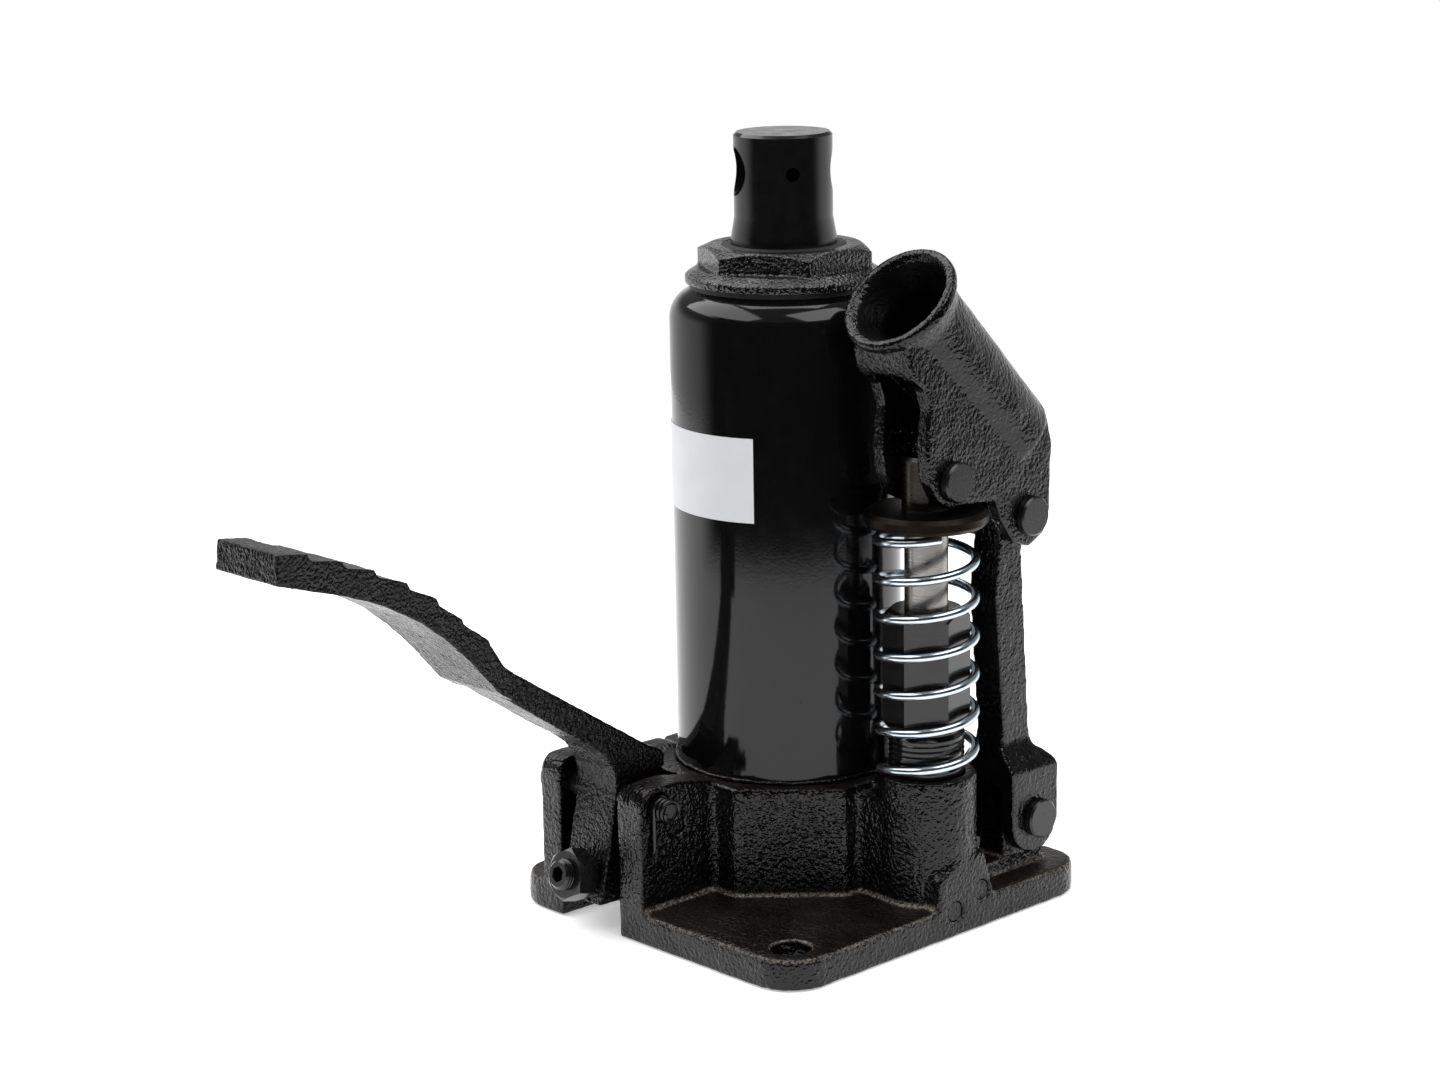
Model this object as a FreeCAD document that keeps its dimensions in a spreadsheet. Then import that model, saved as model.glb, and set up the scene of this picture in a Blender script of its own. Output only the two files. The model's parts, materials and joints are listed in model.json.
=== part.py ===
import FreeCAD, Part
import math
import os
import re
import Sketcher
from FreeCAD import Placement, Rotation, Vector

# A small hydraulic bottle jack with a hand-pump socket at one side and a foot release pedal.
# Frame: +Z up along the tank axis, origin under that axis on the floor, -X toward the pedal,
# -Y toward the pump side.

doc = FreeCAD.newDocument("BottleJack")
sheet = doc.addObject("Spreadsheet::Sheet", "Sizes")

# Driving dimensions in millimetres, angles in degrees.
sizes = {
    # base plate
    "plateBack": 56.5,
    "plateFar": 48.5,
    "plateThick": 9.0,
    "plateCorner": 12.0,
    "plateEdgeRound": 1.5,
    "mountHoleRadius": 5.25,
    "mountHoleInset": 11.0,
    # tank seat and its ring of metal
    "seatMargin": 4.75,
    "seatTop": 40.0,
    "seatDepth": 4.0,
    "gasketThick": 1.0,
    "fitGap": 0.05,
    "slideGap": 0.05,
    # tank
    "tankRadius": 31.75,
    "tankWall": 2.5,
    "tankTop": 173.0,
    "tankShoulder": 8.5,
    "tankNeckInset": 6.75,
    # pressure cylinder and ram
    "rodRadius": 14.5,
    "pistonRadius": 17.5,
    "cylinderWall": 4.0,
    "cylinderFloor": 26.0,
    "skirtLength": 13.0,
    "headRadius": 13.5,
    "headTaperGap": 2.0,
    "headTaperLength": 5.5,
    "headProud": 42.0,
    "ramEdge": 0.8,
    "crossHoleRadius": 6.75,
    "crossHoleDrop": 10.4,
    "crossHoleTurn": 146.4,
    "pegHoleRadius": 1.9,
    "pistonLength": 12.0,
    "ramStart": 29.0,
    "cupLength": 5.0,
    "cupLip": 2.2,
    # collar nut
    "collarAcross": 43.0,
    "flangeInset": 4.45,
    "topGasketProud": 1.0,
    "topGasketThick": 1.3,
    "flangeThick": 2.6,
    "collarStep": 1.6,
    "collarHexHeight": 6.0,
    "wiperWall": 2.5,
    "wiperDepth": 4.0,
    # pump
    "pumpX": 3.4,
    "bossRadius": 13.9,
    "bossTop": 44.4,
    "bossBoreFloor": 24.0,
    "padThick": 10.0,
    "pumpAcross": 20.6,
    "pumpHexBottom": 56.9,
    "pumpHexTop": 89.9,
    "pumpTurn": 12.6,
    "pumpNeckRadius": 10.1,
    "plungerRadius": 5.95,
    "plungerStart": 49.0,
    "shoulderDrop": 8.7,
    "plungerHeadRadius": 6.6,
    "plungerHeadRise": 6.0,
    "tongueHalf": 4.9,
    "plungerSealHeight": 4.0,
    "plungerSealDepth": 1.8,
    "discRadius": 16.9,
    "discThick": 4.3,
    "discRound": 1.2,
    "discClear": 0.85,
    # return spring
    "springRadius": 13.2,
    "springWire": 1.28,
    "springTurns": 6.25,
    # handle socket
    "mouthAhead": 11.1,
    "mouthRise": 49.9,
    "socketTilt": 45.0,
    "socketRadius": 13.3,
    "socketTaper": 0.5,
    "socketBore": 8.6,
    "socketLength": 61.6,
    "socketFloor": 54.0,
    "rimRadius": 16.7,
    "rimBore": 13.0,
    "rimLength": 3.2,
    "flareLength": 9.0,
    "earHalf": 10.3,
    "earWall": 4.4,
    # pins of the linkage
    "pinRadius": 4.0,
    "pinHeadRadius": 5.5,
    "pinHeadLength": 2.3,
    "clipThick": 1.0,
    "clipRadius": 6.4,
    "plungerPinZ": 126.0,
    "plungerPinRadius": 3.0,
    "eyeSlide": 1.1,
    "eyeRise": 0.35,
    "pinSpan": 30.4,
    "linkPinDrop": 14.3,
    "anchorBehind": 4.5,
    "anchorZ": 24.2,
    # link bar
    "linkHalf": 5.0,
    "forkHalf": 10.0,
    "forkGapHalf": 5.3,
    "forkDrop": 12.0,
    "forkTop": 14.6,
    "forkSlope": 7.0,
    "lugHalf": 5.0,
    "lugRadius": 8.5,
    "pinRun": 0.06,
    # pedal and its ears
    "pedalMid": 15.05,
    "neckHalf": 8.3,
    "treadHalf": 13.2,
    "slotHalf": 11.55,
    "valveBlockReach": 9.5,
    "earNearWall": 10.2,
    "earFarWall": 8.6,
    "earNearRise": 6.0,
    "earFarRise": 8.5,
    "earRound": 5.0,
    "earNearFlat": 7.0,
    "earFarFlat": 3.5,
    "earAhead": 7.2,
    "pivotAhead": 10.3,
    "pivotZ": 37.5,
    "pedalReach": 115.8,
    "pivotRadius": 3.5,
    "pivotTailRadius": 1.9,
    "pivotTailLength": 4.2,
    "pivotHeadRadius": 5.0,
    "pivotHeadLength": 2.0,
    "torsionRadius": 2.75,
    "torsionWire": 0.5,
    "torsionPitch": 1.55,
    "torsionTurns": 3.0,
    "torsionLeg": 11.0,
    "torsionBend": 1.2,
    "torsionFoot": 1.6,
    "screwTilt": 15.0,
    "screwRadius": 4.0,
    "screwSocketAcross": 4.0,
    "screwSocketDepth": 4.5,
    "screwLength": 21.0,
    "nutAcross": 13.0,
    "nutThick": 6.5,
    "nutFromTip": 11.8,
    # release valve
    "valveBlockTop": 30.0,
    "valveZ": 12.6,
    "stemRadius": 3.0,
    "stemProud": 7.9,
    "stemPlay": 0.7,
    "stemLength": 24.0,
    "glandRadius": 6.0,
    "glandLength": 12.0,
    "glandHeadAcross": 14.0,
    "glandHeadThick": 3.0,
    "releaseBallRadius": 3.0,
    # oil ways and their valves
    "wayLowX": 0.4,
    "wayLowZ": 7.1,
    "wayHighX": 11.0,
    "wayHighZ": 10.7,
    "wayRadius": 1.9,
    "crossWayRadius": 1.3,
    "outletY": -2.0,
    "outletRise": 6.0,
    "plugRadius": 2.6,
    "plugLength": 5.0,
    "plugSunk": 0.8,
    "checkBallRadius": 2.4,
    "checkBoreRadius": 3.0,
    "checkWire": 0.35,
    "checkPitch": 1.5,
    "checkTurns": 4.0,
    "reliefY": -14.0,
    "reliefZ": 16.0,
    "reliefScrewRadius": 4.0,
    "reliefScrewLength": 8.0,
    "reliefSpringLength": 12.0,
    # small outside pieces
    "fillerTurn": 60.0,
    "fillerRadius": 5.0,
    "fillerHeadRadius": 8.0,
    "fillerHeadLength": 3.0,
    "fillerClear": 1.25,
    "stopBehind": 6.1,
    "stopDrop": 6.3,
    "stopRadius": 3.0,
    "stopSunk": 1.0,
    "stopLength": 6.0,
    "labelDrop": 36.8,
    "labelHigh": 23.2,
    "labelStart": 120.0,
    "labelSweep": 89.0,
    "labelThick": 0.15,
    "strainerLength": 10.0,
}
for row, (alias, size) in enumerate(sizes.items(), start=1):
    cell = "A%d" % row
    sheet.set(cell, str(size))
    sheet.setAlias(cell, alias)
doc.recompute()

# Places and sizes that follow from the driving ones.
follows = {
    "tankNeckRadius": "tankRadius - tankNeckInset",
    "flangeRadius": "tankRadius - flangeInset",
    "topGasketRadius": "tankNeckRadius + topGasketProud",
    "collarHexTop": "flangeThick + collarStep + collarHexHeight",
    "collarStart": "tankTop + topGasketThick",
    "collarTop": "collarStart + collarHexTop",
    "cylinderTop": "tankTop - skirtLength",
    "headTaperStart": "collarTop + headTaperGap",
    "headTaperEnd": "headTaperStart + headTaperLength",
    "ramTop": "tankTop + headProud",
    "crossHoleHeight": "ramTop - crossHoleDrop",
    "pumpY": "0 - tankRadius - discRadius - discClear",
    "plateNear": "pumpY - bossRadius - 0.1",
    "slotBack": "0 - tankRadius - seatMargin - valveBlockReach",
    "pivotX": "slotBack - pivotAhead",
    "plateFront": "pivotX - earAhead",
    "slotNear": "pedalMid - slotHalf",
    "slotFar": "pedalMid + slotHalf",
    "earNearTop": "pivotZ + earNearRise",
    "earFarTop": "pivotZ + earFarRise",
    "stopX": "pivotX + stopBehind",
    "stopZ": "pivotZ - stopDrop",
    "screwTipX": "slotBack - stemProud - stemPlay",
    "screwTipZ": "valveZ",
    "plungerShoulder": "plungerPinZ - shoulderDrop",
    "plungerHeadTop": "plungerPinZ + plungerHeadRise",
    "mouthX": "pumpX - mouthAhead",
    "mouthZ": "plungerPinZ + mouthRise",
    "linkPinX": "pumpX + pinSpan",
    "linkPinZ": "plungerPinZ - linkPinDrop",
    "anchorX": "linkPinX + anchorBehind",
    "linkSpan": "linkPinZ - anchorZ",
    "fillerZ": "cylinderTop - fillerRadius - fillerClear",
    "fillerLength": "tankRadius - pistonRadius - cylinderWall - fillerClear",
    "labelTop": "tankTop - labelDrop",
    "labelBottom": "labelTop - labelHigh",
    "oilRoom": "tankRadius - tankWall - pistonRadius - cylinderWall",
    "oilMiddle": "tankRadius - tankWall - oilRoom / 2",
    "intakeY": "0 - sqrt(oilMiddle * oilMiddle - wayHighX * wayHighX)",
    "strainerRadius": "oilRoom * 0.41",
    "outletZ": "wayLowZ + outletRise",
    "tankStart": "seatTop - seatDepth + gasketThick",
    "seatFace": "tankRadius + seatMargin",
}

up = Rotation()
along = {
    "+Z": Rotation(),
    "-Z": Rotation(Vector(1, 0, 0), 180),
    "+X": Rotation(Vector(0, 1, 0), 90),
    "-X": Rotation(Vector(0, 1, 0), -90),
    "+Y": Rotation(Vector(1, 0, 0), -90),
    "-Y": Rotation(Vector(1, 0, 0), 90),
}


def spelled(text):
    """The text with each following name written out in driving sizes."""
    def written(found):
        name = found.group()
        return "(%s)" % spelled(follows[name]) if name in follows else name

    return re.sub(r"[A-Za-z]\w*", written, str(text))


def bound(text):
    """The text of an expression, with each size name pointing at the sheet."""
    return re.sub(r"([A-Za-z]\w*)(?!\w*\()", r"Sizes.\1", spelled(text))


def amount(text):
    """The present value of an expression of size names."""
    return float(sheet.evalExpression(spelled(text)))


def bind(item, **fields):
    """Ties fields of an object, such as Radius, to expressions of size names."""
    for field, text in fields.items():
        item.setExpression(field, bound(text))


def place(item, spot, turn=up):
    """Sets an object down at a spot of three expressions, turned by a rotation."""
    item.Placement = Placement(Vector(*[amount(text) for text in spot]), turn)
    for letter, text in zip("xyz", spot):
        item.setExpression("Placement.Base." + letter, bound(text))
    return item


def named(kind, label):
    """A new object with its own label."""
    item = doc.addObject(kind, label)
    item.Label = label
    return item


def rod(label, radius, length, spot, turn=up):
    item = named("Part::Cylinder", label)
    bind(item, Radius=radius, Height=length)
    return place(item, spot, turn)


def block(label, low, high):
    """A box between two corners given as expressions."""
    item = named("Part::Box", label)
    spans = ["(%s) - (%s)" % (top, bottom) for bottom, top in zip(low, high)]
    bind(item, Length=spans[0], Width=spans[1], Height=spans[2])
    return place(item, low)


def prism(label, across, length, spot, turn=up):
    """A hexagonal bar by its width across flats."""
    item = named("Part::Prism", label)
    item.Polygon = 6
    bind(item, Circumradius="(%s) / 2 / cos(30)" % across, Height=length)
    return place(item, spot, turn)


def ball(label, radius, spot):
    item = named("Part::Sphere", label)
    bind(item, Radius=radius)
    return place(item, spot)


def joined(label, pieces):
    item = named("Part::MultiFuse", label)
    item.Shapes = pieces
    item.Refine = True
    return item


def cut(label, base, tools):
    """The base less every tool."""
    tool = tools[0] if len(tools) == 1 else joined(label + "_tools", tools)
    item = named("Part::Cut", label)
    item.Base = base
    item.Tool = tool
    item.Refine = True
    return item


def common(label, pieces):
    item = named("Part::MultiCommon", label)
    item.Shapes = pieces
    return item


def drawn(body, label, role, corners):
    """A closed sketch on one of the body's planes, each corner tied to the sheet."""
    sketch = body.newObject("Sketcher::SketchObject", label + "_sketch")
    plane = [feature for feature in body.Origin.OriginFeatures if feature.Role == role][0]
    sketch.AttachmentSupport = [(plane, "")]
    sketch.MapMode = "FlatFace"
    spots = [Vector(amount(x), amount(y), 0) for x, y in corners]
    count = len(spots)
    for i in range(count):
        sketch.addGeometry(Part.LineSegment(spots[i], spots[(i + 1) % count]), False)
    for i in range(count):
        sketch.addConstraint(Sketcher.Constraint("Coincident", i, 2, (i + 1) % count, 1))
    for i in range(count):
        for kind, text, value in (("DistanceX", corners[i][0], spots[i].x),
                                  ("DistanceY", corners[i][1], spots[i].y)):
            number = sketch.addConstraint(Sketcher.Constraint(kind, -1, 1, i, 1, value))
            sketch.setExpression("Constraints[%d]" % number, bound(text))
    return sketch


def turned(label, corners, spot, turn=up):
    """A turned piece from its half outline of (radius, height) corners."""
    body = named("PartDesign::Body", label)
    sketch = drawn(body, label, "XZ_Plane", corners)
    solid = body.newObject("PartDesign::Revolution", label + "_turn")
    solid.Profile = sketch
    solid.ReferenceAxis = (sketch, ["V_Axis"])
    solid.Angle = 360
    body.Tip = solid
    return place(body, spot, turn)


def slab(label, corners, thick, spot, turn=up):
    """A flat piece from an outline in X and Z, its thickness shared about Y."""
    body = named("PartDesign::Body", label)
    sketch = drawn(body, label, "XZ_Plane", corners)
    solid = body.newObject("PartDesign::Pad", label + "_pad")
    solid.Profile = sketch
    solid.Midplane = True
    bind(solid, Length=thick)
    body.Tip = solid
    return place(body, spot, turn)


def pipe(label, outer, inner, length, spot, turn=up):
    return turned(label, [(inner, "0"), (outer, "0"), (outer, length), (inner, length)], spot, turn)


def shares(points, spotX, spotZ, length):
    """Outline points given as shares of one length, from a spot in X and Z."""
    return [("%s + %s * %.4f" % (spotX, length, x), "%s + %s * %.4f" % (spotZ, length, z))
            for x, z in points]


def rounded(label, base, radius, chosen):
    """The base with a fillet on each edge that the test picks."""
    doc.recompute()
    item = named("Part::Fillet", label)
    item.Base = base
    value = amount(radius)
    edges = base.Shape.Edges
    item.Edges = [(i + 1, value, value) for i, edge in enumerate(edges) if chosen(edge)]
    return item


def quarterArcs(start, startWay, end, endWay):
    """Two arcs that lead from one point to another with the given directions."""
    span = end - start
    ways = startWay + endWay
    bend = 2 * (1 - startWay.dot(endWay))
    reach = (-span.dot(ways) + math.sqrt(span.dot(ways) ** 2 + bend * span.dot(span))) / bend
    first = start + startWay * reach
    last = end - endWay * reach
    middle = (first + last) * 0.5
    return [arcBy(start, first, middle), arcBy(middle, last, end)]


def arcBy(start, corner, end):
    """The arc between two points whose tangents meet at the corner."""
    halfway = (start + end) * 0.5
    half = (end - start).Length / 2
    lean = math.acos(min(1.0, half / (corner - start).Length))
    away = corner - halfway
    away.normalize()
    return Part.Arc(start, halfway + away * (half * math.tan(lean / 2)), end)


def wound(radius, pitch, turns, lead=0.0, hand=1):
    """The quarter-turn arcs of a coil about Z, right-handed unless hand is -1."""
    quarters = int(round(turns * 4))
    slope = pitch / (2 * math.pi)

    def at(angle):
        return Vector(radius * math.cos(angle + lead), hand * radius * math.sin(angle + lead),
                      slope * angle)

    def way(angle):
        heading = Vector(-radius * math.sin(angle + lead),
                         hand * radius * math.cos(angle + lead), slope)
        heading.normalize()
        return heading

    arcs = []
    for i in range(quarters):
        angle = i * math.pi / 2
        arcs += quarterArcs(at(angle), way(angle), at(angle + math.pi / 2), way(angle + math.pi / 2))
    return arcs


def swept(label, arcs, wire, spot, turn=up):
    """One unbroken round wire along a run of arcs."""
    edges = [arc.toShape() for arc in arcs]
    path = Part.Wire(edges)
    start = edges[0].valueAt(edges[0].FirstParameter)
    way = edges[0].tangentAt(edges[0].FirstParameter)
    ring = Part.Wire([Part.makeCircle(wire, start, way)])
    item = named("Part::Feature", label)
    item.Shape = path.makePipeShell([ring], True, False)
    leastGap(label, path, wire)
    return place(item, spot, turn)


def leastGap(label, path, wire):
    """Prints the least gap of a wire to itself, measured on points of its path."""
    spots = path.discretize(Distance=wire / 2)
    step = path.Length / (len(spots) - 1)
    away = int(math.ceil(6 * wire / step))
    gap = min((spots[i] - spots[j]).Length for i in range(0, len(spots), 2)
              for j in range(i + away, len(spots)))
    print("%s least gap to itself %.2f mm" % (label, gap - 2 * wire))


def coil(label, radius, wire, pitch, turns, spot, turn=up):
    arcs = wound(amount(radius), amount(pitch), amount(turns))
    return swept(label, arcs, amount(wire), spot, turn)


nodes = []


def keep(item):
    """Counts an object among the pieces of the jack."""
    nodes.append(item)
    return item


# Base casting: plate, tank seat, pump boss, pedal ears, valve block and link lug.
plate = block("plate", ("plateFront", "plateNear", "0"), ("plateBack", "plateFar", "plateThick"))
plateCorners = rounded("plate_corners", plate, "plateCorner",
                       lambda edge: abs(edge.tangentAt(edge.FirstParameter).z) > 0.9)
plateRound = rounded("plate_round", plateCorners, "plateEdgeRound",
                     lambda edge: edge.BoundBox.ZMin > amount("plateThick") - 0.01)
seat = named("Part::Prism", "seat")
seat.Polygon = 8
bind(seat, Circumradius="seatFace / cos(22.5)", Height="seatTop")
place(seat, ("0", "0", "0"), Rotation(Vector(0, 0, 1), 22.5))
boss = rod("boss", "bossRadius", "bossTop", ("pumpX", "pumpY", "0"))
bossWeb = block("boss_web", ("pumpX - bossRadius * 0.95", "pumpY", "0"),
                ("pumpX + bossRadius * 0.95", "-tankRadius * 0.8", "seatTop - 2"))
padOutline = [(-0.79, 0), (0.906, 0), (0.906, 0.612), (0.755, 1.173), (0.604, 1.59),
              (-0.13, 1.525), (-0.705, 1.259)]
passagePad = slab("passage_pad",
                  [("bossRadius * %.3f" % x, "bossRadius * %.3f" % z) for x, z in padOutline],
                  "padThick", ("pumpX", "plateNear + padThick / 2", "0"))
earNear = slab("ear_near",
               [("plateFront", "0"), ("-tankRadius", "0"), ("-tankRadius", "seatTop"),
                ("pivotX + earNearFlat", "earNearTop"), ("plateFront", "earNearTop")],
               "earNearWall", ("0", "slotNear - earNearWall / 2", "0"))
earFar = slab("ear_far",
              [("plateFront", "0"), ("-tankRadius * 0.6", "0"),
               ("-tankRadius * 0.6", "seatTop + 1"), ("-tankRadius", "seatTop + 1"),
               ("pivotX + earFarFlat", "earFarTop"), ("plateFront", "earFarTop")],
              "earFarWall", ("0", "slotFar + earFarWall / 2", "0"))
earNearRound = rounded("ear_near_round", earNear, "earRound",
                       lambda edge: edge.BoundBox.ZMin > amount("earNearTop") - 0.01
                       and edge.BoundBox.XMax < amount("plateFront") + 0.01)
earFarRound = rounded("ear_far_round", earFar, "earRound",
                      lambda edge: edge.BoundBox.ZMin > amount("earFarTop") - 0.01
                      and edge.BoundBox.XMax < amount("plateFront") + 0.01)
valveBlock = block("valve_block", ("slotBack", "slotNear - 1", "0"),
                   ("-tankRadius * 0.6", "slotFar + 1", "valveBlockTop"))
lugTop = rod("lug_top", "lugRadius", "2 * lugHalf", ("anchorX", "pumpY - lugHalf", "anchorZ"),
             along["+Y"])
lugPost = block("lug_post", ("anchorX - lugRadius", "pumpY - lugHalf", "0"),
                ("anchorX + lugRadius", "pumpY + lugHalf", "anchorZ"))
lugFoot = block("lug_foot", ("pumpX + bossRadius * 0.8", "pumpY - lugHalf", "0"),
                ("anchorX + lugRadius", "pumpY + 1.8 * lugHalf", "plateThick + 4"))
baseMetal = joined("base_metal", [plateRound, seat, boss, bossWeb, passagePad, earNearRound,
                                  earFarRound, valveBlock, lugTop, lugPost, lugFoot])

pedalNotch = block("pedal_notch", ("plateFront - 5", "slotNear", "-1"),
                   ("slotBack", "slotFar", "earFarTop + 5"))
heelRoom = block("heel_room", ("slotBack - 1", "slotNear", "valveBlockTop"),
                 ("-seatFace", "slotFar", "earFarTop + 5"))
mountHoles = [
    rod("mount_hole_near", "mountHoleRadius", "plateThick + 2",
        ("plateFront + mountHoleInset", "plateNear + mountHoleInset", "-1")),
    rod("mount_hole_far", "mountHoleRadius", "plateThick + 2",
        ("plateBack - mountHoleInset", "plateFar - mountHoleInset", "-1")),
]
tankSocket = rod("tank_socket", "tankRadius + fitGap", "seatDepth + 10",
                 ("0", "0", "seatTop - seatDepth"))
cylinderSocket = rod("cylinder_socket", "pistonRadius + cylinderWall + fitGap", "seatTop",
                     ("0", "0", "cylinderFloor"))
pumpSocket = rod("pump_socket", "pumpNeckRadius + fitGap", "bossTop",
                 ("pumpX", "pumpY", "bossBoreFloor"))
pumpFoot = rod("pump_foot", "checkBoreRadius", "bossBoreFloor - wayLowZ + 1",
               ("pumpX", "pumpY", "wayLowZ"))
wayLow = rod("way_low", "wayRadius", "outletY + wayRadius - plateNear",
             ("wayLowX", "plateNear", "wayLowZ"), along["+Y"])
wayLowMouth = rod("way_low_mouth", "plugRadius + fitGap", "plugLength + plugSunk",
                  ("wayLowX", "plateNear", "wayLowZ"), along["+Y"])
wayHigh = rod("way_high", "wayRadius", "intakeY - plateNear",
              ("wayHighX", "plateNear", "wayHighZ"), along["+Y"])
wayHighMouth = rod("way_high_mouth", "plugRadius + fitGap", "plugLength + plugSunk",
                   ("wayHighX", "plateNear", "wayHighZ"), along["+Y"])
wayUp = rod("way_up", "wayRadius - 0.4", "cylinderFloor", ("wayLowX", "outletY", "wayLowZ"))
wayCross = rod("way_cross", "crossWayRadius", "wayHighX - pumpX", ("pumpX", "pumpY", "wayHighZ"),
               along["+X"])
outletBore = rod("outlet_bore", "checkBoreRadius", "cylinderFloor - outletZ + 1",
                 ("wayLowX", "outletY", "outletZ"))
intakeBore = rod("intake_bore", "checkBoreRadius", "seatTop - wayHighZ",
                 ("wayHighX", "intakeY", "wayHighZ"))
valveBore = rod("valve_bore", "glandRadius + fitGap", "glandLength + 2",
                ("slotBack", "pedalMid", "valveZ"), along["+X"])
valveWay = rod("valve_way", "stemRadius + 0.3", "-slotBack - 10",
               ("slotBack", "pedalMid", "valveZ"), along["+X"])
valveDrain = rod("valve_drain", "wayRadius", "seatTop",
                 ("-tankRadius + 6", "pedalMid", "valveZ"))
reliefBore = rod("relief_bore", "reliefScrewRadius + fitGap",
                 "reliefScrewLength + reliefSpringLength + 2 * checkBallRadius + fitGap",
                 ("seatFace", "reliefY", "reliefZ"), along["-X"])
pivotHole = rod("pivot_hole", "pivotRadius + fitGap", "2 * (slotHalf + earNearWall + 4)",
                ("pivotX", "pedalMid - slotHalf - earNearWall - 4", "pivotZ"), along["+Y"])
stopHole = rod("stop_hole", "stopRadius + fitGap", "stopSunk + stopLength",
               ("stopX", "slotNear - earNearWall", "stopZ"), along["+Y"])
anchorHole = rod("anchor_hole", "pinRadius + pinRun", "2 * lugHalf + 2",
                 ("anchorX", "pumpY - lugHalf - 1", "anchorZ"), along["+Y"])
legHole = rod("leg_hole", "torsionWire + 0.5", "4",
              ("pivotX - torsionRadius", "slotNear - earNearWall - 1",
               "pivotZ - torsionLeg - torsionBend"), along["+Y"])
keep(cut("base_casting", baseMetal,
         [pedalNotch, heelRoom, tankSocket, cylinderSocket, pumpSocket, pumpFoot, wayLow,
          wayLowMouth, wayHigh, wayHighMouth, wayUp, wayCross, outletBore, intakeBore, valveBore, valveWay,
          valveDrain, reliefBore, pivotHole, stopHole, anchorHole, legHole] + mountHoles))

# Tank, pressure cylinder and their seals.
tankHigh = "tankTop - tankStart"
keep(pipe("tank_gasket", "tankRadius", "tankRadius - tankWall", "gasketThick",
          ("0", "0", "seatTop - seatDepth")))
shoulder = [("tankRadius - tankShoulder * %.4f" % (1 - math.cos(math.radians(a))),
             "%s - tankShoulder * %.4f" % (tankHigh, 1 - math.sin(math.radians(a))))
            for a in (0, 15, 30, 45, 60)]
lining = [("tankNeckRadius", "%s - 2 * tankWall" % tankHigh),
          ("tankRadius - tankWall", "%s - 1.3 * tankShoulder" % tankHigh)]
tankShell = turned("tank_shell",
                   [("tankRadius - tankWall", "0"), ("tankRadius", "0")] + shoulder
                   + [("topGasketRadius", tankHigh), ("tankNeckRadius", tankHigh)] + lining,
                   ("0", "0", "tankStart"))
fillerTurn = Rotation(Vector(0, 0, 1), amount("fillerTurn")).multiply(along["+X"])
fillerHole = rod("filler_hole", "fillerRadius - 0.2", "fillerLength * 2",
                 ("(tankRadius - fillerLength) * cos(fillerTurn)",
                  "(tankRadius - fillerLength) * sin(fillerTurn)", "fillerZ"), fillerTurn)
keep(cut("tank_tube", tankShell, [fillerHole]))
keep(turned("filler_plug",
            [("0", "0"), ("fillerRadius - 0.3", "0"), ("fillerRadius - 0.3", "fillerLength"),
             ("fillerHeadRadius", "fillerLength + 0.6"),
             ("fillerHeadRadius - 1", "fillerLength + fillerHeadLength"),
             ("0", "fillerLength + fillerHeadLength")],
            ("(tankRadius - fillerLength + 0.1) * cos(fillerTurn)",
             "(tankRadius - fillerLength + 0.1) * sin(fillerTurn)", "fillerZ"), fillerTurn))
keep(pipe("cylinder_gasket", "pistonRadius + cylinderWall", "pistonRadius", "gasketThick",
          ("0", "0", "cylinderFloor")))
keep(pipe("pressure_cylinder", "pistonRadius + cylinderWall", "pistonRadius",
          "cylinderTop - cylinderFloor - gasketThick",
          ("0", "0", "cylinderFloor + gasketThick")))
labelShell = pipe("label_shell", "tankRadius + labelThick + 0.02", "tankRadius + 0.02",
                  "labelTop - labelBottom", ("0", "0", "labelBottom"))
labelWedge = named("Part::Cylinder", "label_wedge")
bind(labelWedge, Radius="tankRadius * 2", Height="labelTop - labelBottom", Angle="labelSweep")
place(labelWedge, ("0", "0", "labelBottom"), Rotation(Vector(0, 0, 1), amount("labelStart")))
keep(common("blank_label", [labelShell, labelWedge]))

# Collar nut, with its gasket and the wiper round the ram.
keep(pipe("collar_gasket", "topGasketRadius", "tankNeckRadius - 2", "topGasketThick",
          ("0", "0", "tankTop")))
collarHex = prism("collar_hex", "collarAcross", "collarHexTop - flangeThick",
                  ("0", "0", "collarStart + flangeThick"))
collarCrown = turned("collar_crown",
                     [("0", "0"), ("flangeRadius", "0"),
                      ("flangeRadius", "flangeThick + collarStep"),
                      ("collarAcross * 0.585", "collarHexTop - 2"),
                      ("collarAcross * 0.485", "collarHexTop"), ("0", "collarHexTop")],
                     ("0", "0", "collarStart"))
collarHead = common("collar_head", [collarHex, collarCrown])
collarFlange = turned("collar_flange",
                      [("0", "0"), ("flangeRadius", "0"), ("flangeRadius", "flangeThick - 0.6"),
                       ("flangeRadius - 0.6", "flangeThick"),
                       ("collarAcross * 0.56", "flangeThick + collarStep"),
                       ("0", "flangeThick + collarStep")], ("0", "0", "collarStart"))
collarSkirt = rod("collar_skirt", "tankNeckRadius - 2.2", "skirtLength + topGasketThick + 1",
                  ("0", "0", "cylinderTop"))
collarMetal = joined("collar_metal", [collarHead, collarFlange, collarSkirt])
collarBore = rod("collar_bore", "rodRadius + slideGap", "skirtLength * 3",
                 ("0", "0", "cylinderTop - 1"))
wiperSeat = rod("wiper_seat", "rodRadius + wiperWall", "wiperDepth + 1",
                ("0", "0", "collarTop - wiperDepth"))
keep(cut("collar_nut", collarMetal, [collarBore, wiperSeat]))
keep(turned("ram_wiper",
            [("rodRadius + slideGap", "0"), ("rodRadius + wiperWall", "0"),
             ("rodRadius + wiperWall", "wiperDepth - 0.3"),
             ("rodRadius + 0.8", "wiperDepth + 0.2"),
             ("rodRadius + slideGap", "wiperDepth + 0.2")],
            ("0", "0", "collarTop - wiperDepth")))

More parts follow.
